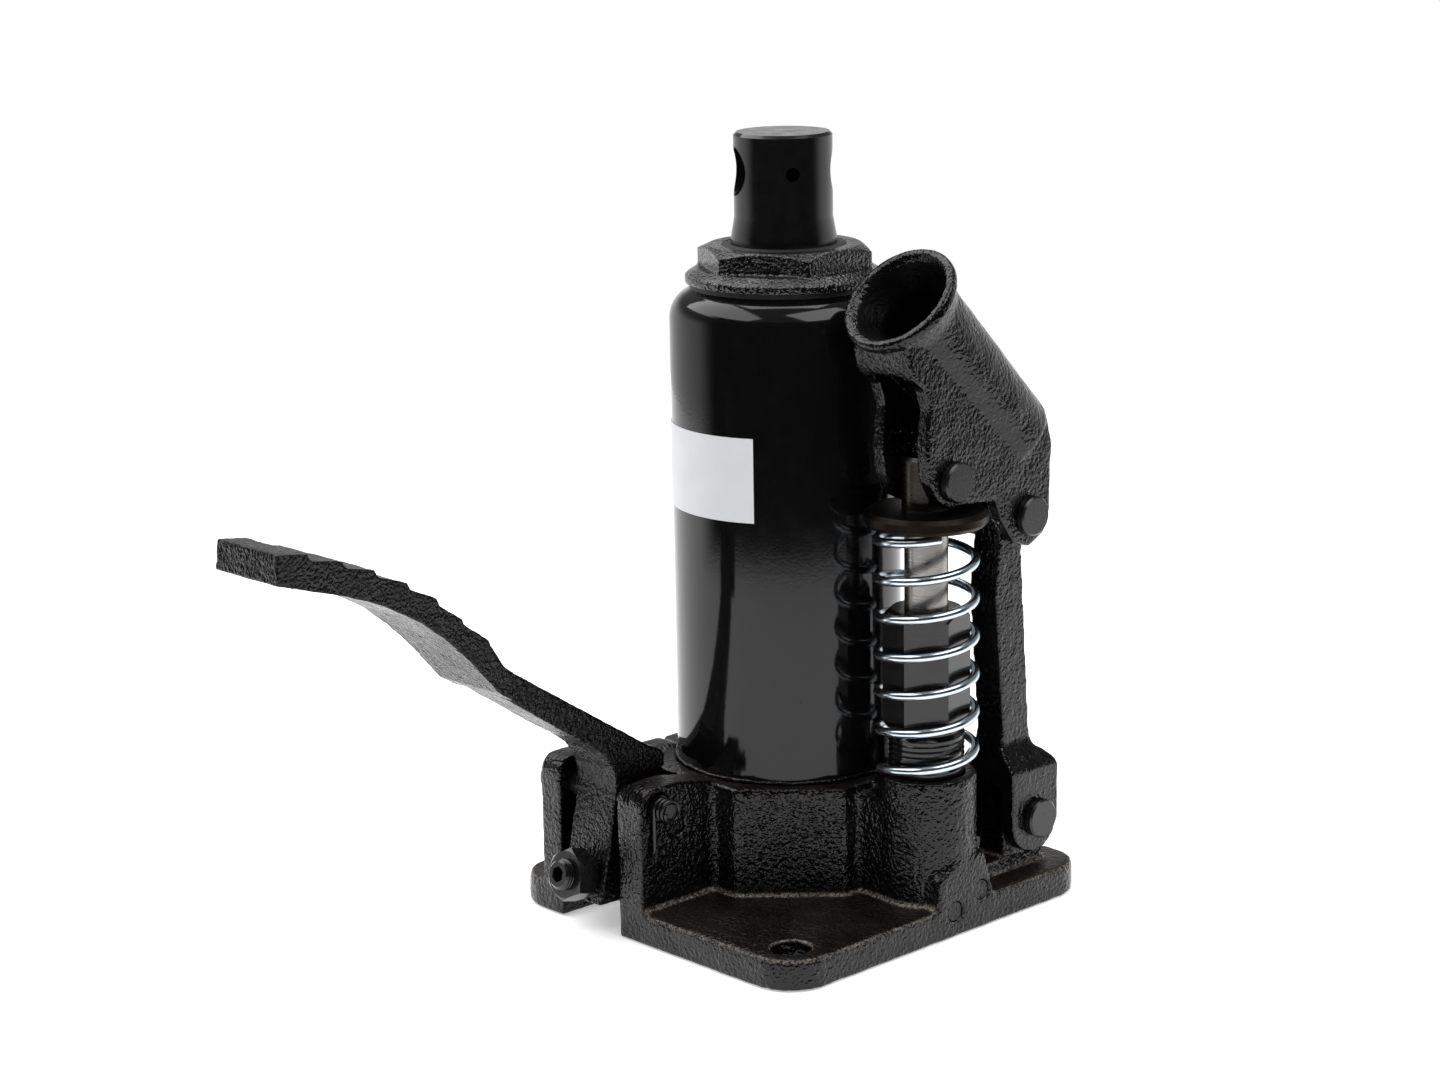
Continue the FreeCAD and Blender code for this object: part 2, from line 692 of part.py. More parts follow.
# Ram, piston and cup.
rodBody = turned("rod_body",
                 [("0", "0"), ("rodRadius - 4", "0"), ("rodRadius - 4", "pistonLength"),
                  ("rodRadius", "pistonLength"),
                  ("rodRadius", "headTaperStart - ramStart - cupLength"),
                  ("headRadius", "headTaperEnd - ramStart - cupLength"),
                  ("headRadius", "ramTop - ramEdge - ramStart - cupLength"),
                  ("headRadius - ramEdge", "ramTop - ramStart - cupLength"),
                  ("0", "ramTop - ramStart - cupLength")],
                 ("0", "0", "ramStart + cupLength"))
crossTurn = Rotation(Vector(0, 0, 1), amount("crossHoleTurn")).multiply(along["+X"])
crossHole = rod("cross_hole", "crossHoleRadius", "4 * headRadius",
                ("-2 * headRadius * cos(crossHoleTurn)", "-2 * headRadius * sin(crossHoleTurn)",
                 "crossHoleHeight"), crossTurn)
pegTurn = Rotation(Vector(0, 0, 1), amount("crossHoleTurn") + 90).multiply(along["+X"])
pegHole = rod("peg_hole", "pegHoleRadius", "2 * headRadius", ("0", "0", "crossHoleHeight"),
              pegTurn)
keep(cut("ram_rod", rodBody, [crossHole, pegHole]))
keep(turned("ram_piston",
            [("rodRadius - 4", "0"), ("pistonRadius - slideGap", "0"),
             ("pistonRadius - slideGap", "pistonLength - 1"),
             ("pistonRadius - slideGap - 1", "pistonLength"), ("rodRadius - 4", "pistonLength")],
            ("0", "0", "ramStart + cupLength")))
keep(turned("piston_cup",
            [("0", "cupLength - cupLip"), ("pistonRadius - cupLip", "cupLength - cupLip"),
             ("pistonRadius - cupLip", "0"), ("pistonRadius - slideGap", "0"),
             ("pistonRadius - slideGap", "cupLength"), ("0", "cupLength")],
            ("0", "0", "ramStart")))

# Pump cylinder, plunger, its seal and the spring's disc.
pumpBar = prism("pump_bar", "pumpAcross", "pumpHexTop - pumpHexBottom",
                ("pumpX", "pumpY", "pumpHexBottom"),
                Rotation(Vector(0, 0, 1), amount("pumpTurn")))
pumpCrown = turned("pump_crown",
                   [("0", "0"), ("pumpAcross * 0.53", "0"), ("pumpAcross * 0.6", "1.5"),
                    ("pumpAcross * 0.6", "pumpHexTop - pumpHexBottom - 2.6"),
                    ("pumpAcross * 0.46", "pumpHexTop - pumpHexBottom"),
                    ("0", "pumpHexTop - pumpHexBottom")], ("pumpX", "pumpY", "pumpHexBottom"))
pumpHead = common("pump_head", [pumpBar, pumpCrown])
pumpNeck = turned("pump_neck",
                  [("0", "0"), ("pumpNeckRadius", "0"),
                   ("pumpNeckRadius", "pumpHexBottom - bossBoreFloor - gasketThick - 2"),
                   ("pumpNeckRadius - 0.9", "pumpHexBottom - bossBoreFloor - gasketThick - 1"),
                   ("pumpNeckRadius - 0.9", "pumpHexBottom - bossBoreFloor"),
                   ("0", "pumpHexBottom - bossBoreFloor")],
                  ("pumpX", "pumpY", "bossBoreFloor + gasketThick"))
pumpMetal = joined("pump_metal", [pumpHead, pumpNeck])
pumpBore = rod("pump_bore", "plungerRadius + slideGap", "pumpHexTop",
               ("pumpX", "pumpY", "bossBoreFloor"))
keep(cut("pump_cylinder", pumpMetal, [pumpBore]))
keep(pipe("pump_gasket", "pumpNeckRadius", "plungerRadius + 0.5", "gasketThick",
          ("pumpX", "pumpY", "bossBoreFloor")))
plungerShaft = turned("plunger_shaft",
                      [("0", "0"), ("plungerRadius", "0"), ("plungerRadius", "2"),
                       ("plungerRadius - plungerSealDepth", "2"),
                       ("plungerRadius - plungerSealDepth", "2 + plungerSealHeight"),
                       ("plungerRadius", "2 + plungerSealHeight"),
                       ("plungerRadius", "plungerShoulder - plungerStart"),
                       ("0", "plungerShoulder - plungerStart")],
                      ("pumpX", "pumpY", "plungerStart"))
plungerHead = turned("plunger_head",
                     [("0", "0"), ("plungerHeadRadius", "0"),
                      ("plungerHeadRadius", "plungerHeadTop - plungerShoulder - 1"),
                      ("plungerHeadRadius - 1", "plungerHeadTop - plungerShoulder"),
                      ("0", "plungerHeadTop - plungerShoulder")],
                     ("pumpX", "pumpY", "plungerShoulder"))
tongueSides = block("tongue_sides",
                    ("pumpX - 2 * plungerHeadRadius", "pumpY - tongueHalf", "plungerShoulder"),
                    ("pumpX + 2 * plungerHeadRadius", "pumpY + tongueHalf", "plungerHeadTop"))
tongue = common("tongue", [plungerHead, tongueSides])
plungerMetal = joined("plunger_metal", [plungerShaft, tongue])
eyeSlot = block("eye_slot",
                ("pumpX - plungerPinRadius - eyeSlide", "pumpY - 2 * tongueHalf",
                 "plungerPinZ - plungerPinRadius - eyeRise"),
                ("pumpX + plungerPinRadius + eyeSlide", "pumpY + 2 * tongueHalf",
                 "plungerPinZ + plungerPinRadius + eyeRise"))
keep(cut("pump_plunger", plungerMetal, [eyeSlot]))
keep(pipe("plunger_seal", "plungerRadius + 0.02", "plungerRadius - plungerSealDepth",
          "plungerSealHeight", ("pumpX", "pumpY", "plungerStart + 2")))
keep(turned("spring_disc",
            [("plungerRadius + fitGap", "0"), ("discRadius - discRound", "0"),
             ("discRadius", "discRound"), ("discRadius", "discThick - discRound"),
             ("discRadius - discRound", "discThick"), ("plungerRadius + fitGap", "discThick")],
            ("pumpX", "pumpY", "plungerShoulder - discThick")))
springRun = "plungerShoulder - discThick - bossTop - 2 * springWire - 0.2"
keep(coil("return_spring", "springRadius", "springWire", "(%s) / springTurns" % springRun,
          "springTurns", ("pumpX", "pumpY", "bossTop + springWire + 0.1"),
          Rotation(Vector(0, 0, 1), 150)))

# Handle socket: a flared tube with two ears, drawn with the tube along its own -Z.
tiltTurn = Rotation(Vector(0, 1, 0), -amount("socketTilt"))
mouthSpot = ("mouthX", "pumpY", "mouthZ")
socketSkin = turned("socket_skin",
                    [("0", "-socketLength"), ("socketRadius - socketTaper - 0.8", "-socketLength"),
                     ("socketRadius - socketTaper", "0.8 - socketLength"),
                     ("socketRadius", "-flareLength"),
                     ("rimRadius - 1.6", "-rimLength - 0.6"), ("rimRadius", "-rimLength"),
                     ("rimRadius", "-0.8"), ("rimRadius - 0.8", "0"), ("0", "0")],
                    mouthSpot, tiltTurn)
socketHollow = turned("socket_hollow",
                      [("0", "-socketFloor"), ("socketBore", "-socketFloor"),
                       ("socketBore", "-flareLength"), ("rimBore", "-1.5"),
                       ("rimBore + 1.2", "0.01"), ("0", "0.01")], mouthSpot, tiltTurn)
earFront = [(-0.589, 1.247), (-0.556, 1.050), (-0.507, 0.954), (-0.378, 0.852), (-0.316, 0.668),
            (-0.342, 0.444), (-0.355, 0.270), (-0.316, 0.026), (-0.191, -0.174)]
earBack = [(0.786, -0.694), (1.0, -0.766), (1.211, -0.671), (1.289, -0.461), (1.309, 0.168),
           (1.253, 0.378), (0.875, 0.559), (-0.112, 1.513)]
gapOutline = [(-1.099, 0.921), (-0.408, 0.970), (-0.260, 0.921), (0.168, 0.543),
              (0.678, 0.066), (1.862, 0.033), (1.862, -1.184), (-1.099, -1.184)]
overDisc = [("pumpX - pinSpan * 0.03", "plungerShoulder + discClear"),
            ("pumpX + discRadius * 0.97", "plungerShoulder + discClear"),
            ("pumpX + discRadius * 1.1", "plungerPinZ - pinSpan * 0.454")]
ears = slab("ears",
            shares(earFront, "pumpX", "plungerPinZ", "pinSpan") + overDisc
            + shares(earBack, "pumpX", "plungerPinZ", "pinSpan"),
            "2 * earHalf", ("0", "pumpY", "0"))
socketMetal = joined("socket_metal", [socketSkin, ears])
earGap = slab("ear_gap", shares(gapOutline, "pumpX", "plungerPinZ", "pinSpan"),
              "2 * (earHalf - earWall)", ("0", "pumpY", "0"))
plungerPinHole = rod("plunger_pin_hole", "plungerPinRadius", "4 * earHalf",
                     ("pumpX", "pumpY - 2 * earHalf", "plungerPinZ"), along["+Y"])
linkPinHole = rod("link_pin_hole", "pinRadius + pinRun", "4 * earHalf",
                  ("linkPinX", "pumpY - 2 * earHalf", "linkPinZ"), along["+Y"])
keep(cut("handle_socket", socketMetal, [socketHollow, earGap, plungerPinHole, linkPinHole]))


def headedPin(label, half, radius, spotX, spotZ):
    """A pin with a round head on the near side and a groove for its clip on the far side."""
    reach = "2 * (%s) + clipThick + 1.6" % half
    return keep(turned(label,
                       [("0", "0"), ("pinHeadRadius - 0.5", "0"), ("pinHeadRadius", "0.5"),
                        ("pinHeadRadius", "pinHeadLength"), (radius, "pinHeadLength"),
                        (radius, "pinHeadLength + %s - 0.5" % reach),
                        ("%s - 0.5" % radius, "pinHeadLength + " + reach),
                        ("0", "pinHeadLength + " + reach)],
                       (spotX, "pumpY - (%s) - pinHeadLength - 0.02" % half, spotZ),
                       along["+Y"]))


def pinClip(label, half, radius, spotX, spotZ):
    """The spring clip that holds a pin's far end."""
    return keep(pipe(label, "clipRadius", radius, "clipThick",
                     (spotX, "pumpY + (%s) + 0.1" % half, spotZ), along["+Y"]))


for pinName, half, radius, spotX, spotZ in (
        ("plunger_pin", "earHalf", "plungerPinRadius", "pumpX", "plungerPinZ"),
        ("link_pin", "earHalf", "pinRadius", "linkPinX", "linkPinZ"),
        ("anchor_pin", "forkHalf", "pinRadius", "anchorX", "anchorZ")):
    headedPin(pinName, half, radius, spotX, spotZ)
    pinClip(pinName + "_clip", half, radius, spotX, spotZ)

# Link: a bar between the socket's ears that widens to a fork round the lug at the base.
barOutline = [(-0.0823, 0.0057), (-0.0709, -0.08), (-0.0903, -0.2514), (-0.0526, -0.7086),
              (-0.0731, -0.7886), (-0.0731, -0.8457), (0.1017, -0.8457), (0.097, -0.815),
              (0.0766, -0.72), (0.0354, -0.1257), (0.0754, -0.0343), (0.0754, 0.04),
              (0.0286, 0.0777), (-0.0343, 0.0766)]
forkOutline = [(-0.1211, 0.2217), (-0.1211, -0.0114), (-0.1086, -0.0571), (-0.0743, -0.0949),
               (-0.0229, -0.112), (0.0343, -0.1086), (0.0777, -0.0754), (0.0994, -0.0286),
               (0.1029, 0.0229), (0.1029, 0.1543), (0.092, 0.1829), (0.0629, 0.2126),
               (-0.0343, 0.2571)]
frontOutline = [("-forkHalf", "-forkDrop"), ("forkHalf", "-forkDrop"), ("forkHalf", "forkTop"),
                ("linkHalf", "forkTop + forkSlope"), ("linkHalf", "linkSpan + forkDrop"),
                ("-linkHalf", "linkSpan + forkDrop"), ("-linkHalf", "forkTop + forkSlope"),
                ("-forkHalf", "forkTop")]
linkBar = slab("link_bar", shares(barOutline, "linkPinX", "linkPinZ", "linkSpan"),
               "2 * forkHalf", ("0", "pumpY", "0"))
linkFork = slab("link_fork", shares(forkOutline, "anchorX", "anchorZ", "linkSpan"),
                "2 * forkHalf", ("0", "pumpY", "0"))
linkSide = joined("link_side", [linkBar, linkFork])
linkFront = slab("link_front", frontOutline, "linkSpan", ("anchorX", "pumpY", "anchorZ"),
                 Rotation(Vector(0, 0, 1), 90))
linkMetal = common("link_metal", [linkSide, linkFront])
forkGap = block("fork_gap", ("anchorX - 20", "pumpY - forkGapHalf", "0"),
                ("anchorX + 20", "pumpY + forkGapHalf", "anchorZ + lugRadius + 1"))
linkEyeHole = rod("link_eye_hole", "pinRadius", "4 * linkHalf",
                  ("linkPinX", "pumpY - 2 * linkHalf", "linkPinZ"), along["+Y"])
linkFootHole = rod("link_foot_hole", "pinRadius", "4 * forkHalf",
                   ("anchorX", "pumpY - 2 * forkHalf", "anchorZ"), along["+Y"])
keep(cut("pump_link", linkMetal, [forkGap, linkEyeHole, linkFootHole]))

# Release pedal: stepped tread, neck, heel and the web that carries the adjusting screw.
treadTop = [(-0.9922, 0.7789), (-0.9145, 0.7677), (-0.9059, 0.7504), (-0.8247, 0.7349),
            (-0.8161, 0.7185), (-0.7401, 0.7003), (-0.7314, 0.6831), (-0.6537, 0.6554),
            (-0.6459, 0.6382), (-0.5743, 0.6054), (-0.5674, 0.5881), (-0.5052, 0.5449),
            (-0.5000, 0.5302), (-0.4326, 0.4827), (-0.4266, 0.4680), (-0.3912, 0.4119)]
treadRoot = [(-0.3618, 0.3912), (-0.3670, 0.3221)]
neckTop = [(-0.3549, 0.3929), (0.0769, 0.1131), (0.1183, 0.0941), (0.1278, 0.0786),
           (0.1261, 0.0466)]
webBack = [(0.0579, 0.0337), (0.0337, -0.0389), (0.0250, -0.0907), (-0.0026, -0.2461),
           (-0.0181, -0.2530)]
webFront = [(-0.0915, -0.2513), (-0.0760, -0.1857), (-0.0596, -0.1157), (-0.0458, -0.0449),
            (-0.0302, 0.0250), (-0.0371, 0.0717), (-0.0699, 0.1218), (-0.1114, 0.1528)]
neckBottom = [(-0.1908, 0.2029), (-0.3558, 0.3152)]
treadBottom = [(-0.4059, 0.3454), (-0.4888, 0.4396), (-0.5535, 0.5009), (-0.6183, 0.5527),
               (-0.7193, 0.6105), (-0.8195, 0.6520), (-1.0000, 0.7081)]

pedalNeck = slab("pedal_neck",
                 shares([treadTop[-1]] + neckTop + webBack + webFront + neckBottom
                        + [treadBottom[0]], "pivotX", "pivotZ", "pedalReach"),
                 "2 * neckHalf", ("0", "pedalMid", "0"))
pedalTread = slab("pedal_tread",
                  shares(treadTop + treadRoot + treadBottom, "pivotX", "pivotZ", "pedalReach"),
                  "2 * treadHalf", ("0", "pedalMid", "0"))
pedalMetal = joined("pedal_metal", [pedalNeck, pedalTread])
pedalBore = rod("pedal_bore", "pivotRadius + pinRun", "4 * neckHalf",
                ("pivotX", "pedalMid - 2 * neckHalf", "pivotZ"), along["+Y"])
screwTurn = Rotation(Vector(0, 1, 0), -90 + amount("screwTilt"))
screwSpot = ("screwTipX", "pedalMid", "screwTipZ")
screwHole = rod("screw_hole", "screwRadius + fitGap", "screwLength", screwSpot, screwTurn)
nutFace = prism("nut_face", "nutAcross * 1.4", "nutThick * 3",
                ("screwTipX - nutFromTip * cos(screwTilt)", "pedalMid",
                 "screwTipZ + nutFromTip * sin(screwTilt)"), screwTurn)
keep(cut("release_pedal", pedalMetal, [pedalBore, screwHole, nutFace]))
screwBody = turned("screw_body",
                   [("0", "0"), ("screwRadius - 1.4", "0"), ("screwRadius", "1.4"),
                    ("screwRadius", "screwLength - 0.6"), ("screwRadius - 0.6", "screwLength"),
                    ("0", "screwLength")], screwSpot, screwTurn)
screwSocket = prism("screw_socket", "screwSocketAcross", "screwSocketDepth + 1",
                    ("screwTipX - (screwLength - screwSocketDepth) * cos(screwTilt)", "pedalMid",
                     "screwTipZ + (screwLength - screwSocketDepth) * sin(screwTilt)"), screwTurn)
keep(cut("adjusting_screw", screwBody, [screwSocket]))
nutSpot = ("screwTipX - (nutFromTip + 0.02) * cos(screwTilt)", "pedalMid",
           "screwTipZ + (nutFromTip + 0.02) * sin(screwTilt)")
nutBar = prism("nut_bar", "nutAcross", "nutThick", nutSpot, screwTurn)
nutCrown = turned("nut_crown",
                  [("0", "0"), ("nutAcross * 0.49", "0"), ("nutAcross * 0.6", "1"),
                   ("nutAcross * 0.6", "nutThick - 1"), ("nutAcross * 0.49", "nutThick"),
                   ("0", "nutThick")], nutSpot, screwTurn)
nutMetal = common("nut_metal", [nutBar, nutCrown])
nutBore = rod("nut_bore", "screwRadius + fitGap", "screwLength", screwSpot, screwTurn)
keep(cut("lock_nut", nutMetal, [nutBore]))
pinShank = "pivotTailLength + earNearWall + 2 * slotHalf + earFarWall"
keep(turned("pedal_pin",
            [("0", "0"), ("pivotTailRadius", "0"), ("pivotTailRadius", "pivotTailLength"),
             ("pivotRadius", "pivotTailLength"), ("pivotRadius", pinShank + " + 0.1"),
             ("pivotHeadRadius", pinShank + " + 0.1"),
             ("pivotHeadRadius", pinShank + " + pivotHeadLength"),
             ("0", pinShank + " + pivotHeadLength")],
            ("pivotX", "slotNear - earNearWall - pivotTailLength", "pivotZ"), along["+Y"]))

# Torsion spring round the pin's tail: its foot sits in a hole in the ear, its leg runs up
# to the coils, and the coils wind outward.
legDrop = amount("torsionLeg")
legBend = amount("torsionBend")
footDepth = amount("torsionFoot")
torsionArcs = wound(amount("torsionRadius"), amount("torsionPitch"), amount("torsionTurns"),
                    math.pi, -1)
coilStart = torsionArcs[0].StartPoint
coilWay = Vector(0, 1, 0)
legBottom = coilStart - coilWay * legDrop
legCorner = legBottom - coilWay * legBend
footStart = legCorner - Vector(0, 0, legBend)
torsionPath = [Part.LineSegment(footStart - Vector(0, 0, footDepth), footStart),
               arcBy(footStart, legCorner, legBottom),
               Part.LineSegment(legBottom, coilStart)] + torsionArcs
keep(swept("torsion_spring", torsionPath, amount("torsionWire"),
           ("pivotX", "slotNear - earNearWall - torsionWire - 0.1", "pivotZ"), along["-Y"]))
keep(turned("stop_plug", [("0", "0"), ("stopRadius", "0"), ("stopRadius", "stopLength - 0.4"),
                          ("stopRadius - 0.4", "stopLength"), ("0", "stopLength")],
            ("stopX", "slotNear - earNearWall + stopSunk", "stopZ"), along["+Y"]))

# Release valve in the block behind the pedal's web.
stemSpot = ("slotBack - stemProud", "pedalMid", "valveZ")
keep(turned("valve_stem",
            [("0", "0"), ("stemRadius - 0.5", "0"), ("stemRadius", "0.5"),
             ("stemRadius", "stemLength"), ("0", "stemLength")], stemSpot, along["+X"]))
glandHex = prism("gland_hex", "glandHeadAcross", "glandHeadThick",
                 ("slotBack - glandHeadThick", "pedalMid", "valveZ"), along["+X"])
glandBody = rod("gland_body", "glandRadius", "glandLength", ("slotBack", "pedalMid", "valveZ"),
                along["+X"])
glandMetal = joined("gland_metal", [glandHex, glandBody])
glandBore = rod("gland_bore", "stemRadius + slideGap", "glandLength * 2",
                ("slotBack - glandHeadThick - 1", "pedalMid", "valveZ"), along["+X"])
keep(cut("valve_gland", glandMetal, [glandBore]))
keep(ball("release_ball", "releaseBallRadius",
          ("slotBack - stemProud + stemLength + releaseBallRadius + 5", "pedalMid", "valveZ")))

# Check valves, relief valve, strainer and the plugs that close the drilled oil ways.
for plugName, spotX, spotZ in (("way_plug_low", "wayLowX", "wayLowZ"),
                               ("way_plug_high", "wayHighX", "wayHighZ")):
    keep(turned(plugName, [("0", "0"), ("plugRadius", "0"), ("plugRadius", "plugLength - 0.4"),
                           ("plugRadius - 0.4", "plugLength"), ("0", "plugLength")],
                (spotX, "plateNear + plugSunk", spotZ), along["+Y"]))
keep(ball("inlet_ball", "checkBallRadius",
          ("wayHighX", "intakeY", "wayHighZ + checkBallRadius + 1")))
keep(ball("outlet_ball", "checkBallRadius", ("wayLowX", "outletY", "outletZ + checkBallRadius")))
keep(coil("outlet_spring", "checkBallRadius - checkWire", "checkWire", "checkPitch", "checkTurns",
          ("wayLowX", "outletY", "outletZ + 2 * checkBallRadius + checkWire")))
keep(pipe("intake_strainer", "strainerRadius", "strainerRadius - 0.8", "strainerLength",
          ("wayHighX", "intakeY", "seatTop - seatDepth + 0.1")))
keep(turned("relief_screw",
            [("0", "0"), ("reliefScrewRadius", "0"), ("reliefScrewRadius", "reliefScrewLength"),
             ("0", "reliefScrewLength")], ("seatFace - 0.5", "reliefY", "reliefZ"),
            along["-X"]))
keep(coil("relief_spring", "reliefScrewRadius - 1", "checkWire * 1.5", "reliefSpringLength / 6",
          "5", ("seatFace - reliefScrewLength - 1.3", "reliefY", "reliefZ"), along["-X"]))
keep(ball("relief_ball", "checkBallRadius",
          ("seatFace - reliefScrewLength - reliefSpringLength - checkBallRadius",
           "reliefY", "reliefZ")))

doc.recompute()

for item in doc.Objects:
    if "Invalid" in item.State or "Error" in item.State:
        raise RuntimeError("%s did not build: %s" % (item.Label, item.State))

os.makedirs("parts", exist_ok=True)
for item in nodes:
    shape = item.Shape
    if shape.isNull() or not shape.isValid():
        raise RuntimeError("%s has no sound shape" % item.Label)
    shape.exportStep("parts/%s.step" % item.Label)
print("%d pieces written" % len(nodes))
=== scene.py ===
import json
import math

import bmesh
import bpy
from mathutils import Matrix, Vector, noise

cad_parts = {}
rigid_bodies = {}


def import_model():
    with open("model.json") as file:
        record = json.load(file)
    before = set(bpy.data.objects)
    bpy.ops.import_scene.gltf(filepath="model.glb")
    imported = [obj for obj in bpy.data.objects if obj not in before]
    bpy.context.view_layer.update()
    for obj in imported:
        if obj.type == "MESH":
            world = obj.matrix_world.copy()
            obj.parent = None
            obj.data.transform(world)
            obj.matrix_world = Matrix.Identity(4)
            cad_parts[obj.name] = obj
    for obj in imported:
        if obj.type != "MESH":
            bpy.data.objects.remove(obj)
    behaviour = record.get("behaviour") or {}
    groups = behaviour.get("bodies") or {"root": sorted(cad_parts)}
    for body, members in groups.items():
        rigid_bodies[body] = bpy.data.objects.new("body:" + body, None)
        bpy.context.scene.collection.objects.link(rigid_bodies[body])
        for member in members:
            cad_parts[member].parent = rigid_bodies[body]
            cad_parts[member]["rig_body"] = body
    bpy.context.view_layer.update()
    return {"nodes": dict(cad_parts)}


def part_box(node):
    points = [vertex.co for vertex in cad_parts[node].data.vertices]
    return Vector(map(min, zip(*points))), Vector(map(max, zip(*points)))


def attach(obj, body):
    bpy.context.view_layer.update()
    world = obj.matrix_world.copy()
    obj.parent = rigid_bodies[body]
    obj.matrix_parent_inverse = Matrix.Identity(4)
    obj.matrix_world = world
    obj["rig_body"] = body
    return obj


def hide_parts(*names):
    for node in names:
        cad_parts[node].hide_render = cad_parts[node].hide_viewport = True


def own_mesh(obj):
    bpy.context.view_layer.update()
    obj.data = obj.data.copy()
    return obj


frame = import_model()
nodes = frame["nodes"]
mm = 0.001

# Small bottle jack with a side pump and a foot release pedal.
# The origin is under the tank, Z is up, the pedal points to -X and the pump side is -Y.


def hexColour(code):  # sRGB hex to the linear colour a shader takes
    parts = [int(code[i:i + 2], 16) / 255 for i in (1, 3, 5)]
    linear = [part / 12.92 if part <= 0.04045 else ((part + 0.055) / 1.055) ** 2.4 for part in parts]
    return (*linear, 1.0)


def addNode(tree, kind, settings=None, links=None):
    # settings are a node's own properties or, by name, its sockets; links feed its sockets
    node = tree.nodes.new(kind)
    for key, value in (settings or {}).items():
        if isinstance(key, int) or key in node.inputs:
            node.inputs[key].default_value = value
        else:
            setattr(node, key, value)
    for key, source in (links or {}).items():
        tree.links.new(source, node.inputs[key])
    return node


def setRamp(ramp, stops):
    elements = ramp.color_ramp.elements
    while len(elements) > 1:
        elements.remove(elements[-1])
    elements[0].position, elements[0].color = stops[0]
    for position, colour in stops[1:]:
        elements.new(position).color = colour
    return ramp.outputs["Color"]


def newMaterial(name):
    material = bpy.data.materials.new(name)
    material.use_nodes = True
    tree = material.node_tree
    tree.nodes.clear()
    shader = addNode(tree, "ShaderNodeBsdfPrincipled")
    addNode(tree, "ShaderNodeOutputMaterial", {}, {"Surface": shader.outputs["BSDF"]})
    coords = addNode(tree, "ShaderNodeTexCoord").outputs["Object"]
    return material, tree, shader, coords


def perMm(size):  # a pattern's scale on Object coordinates from its grain in millimetres
    return 1000 / size


print("frame loaded")


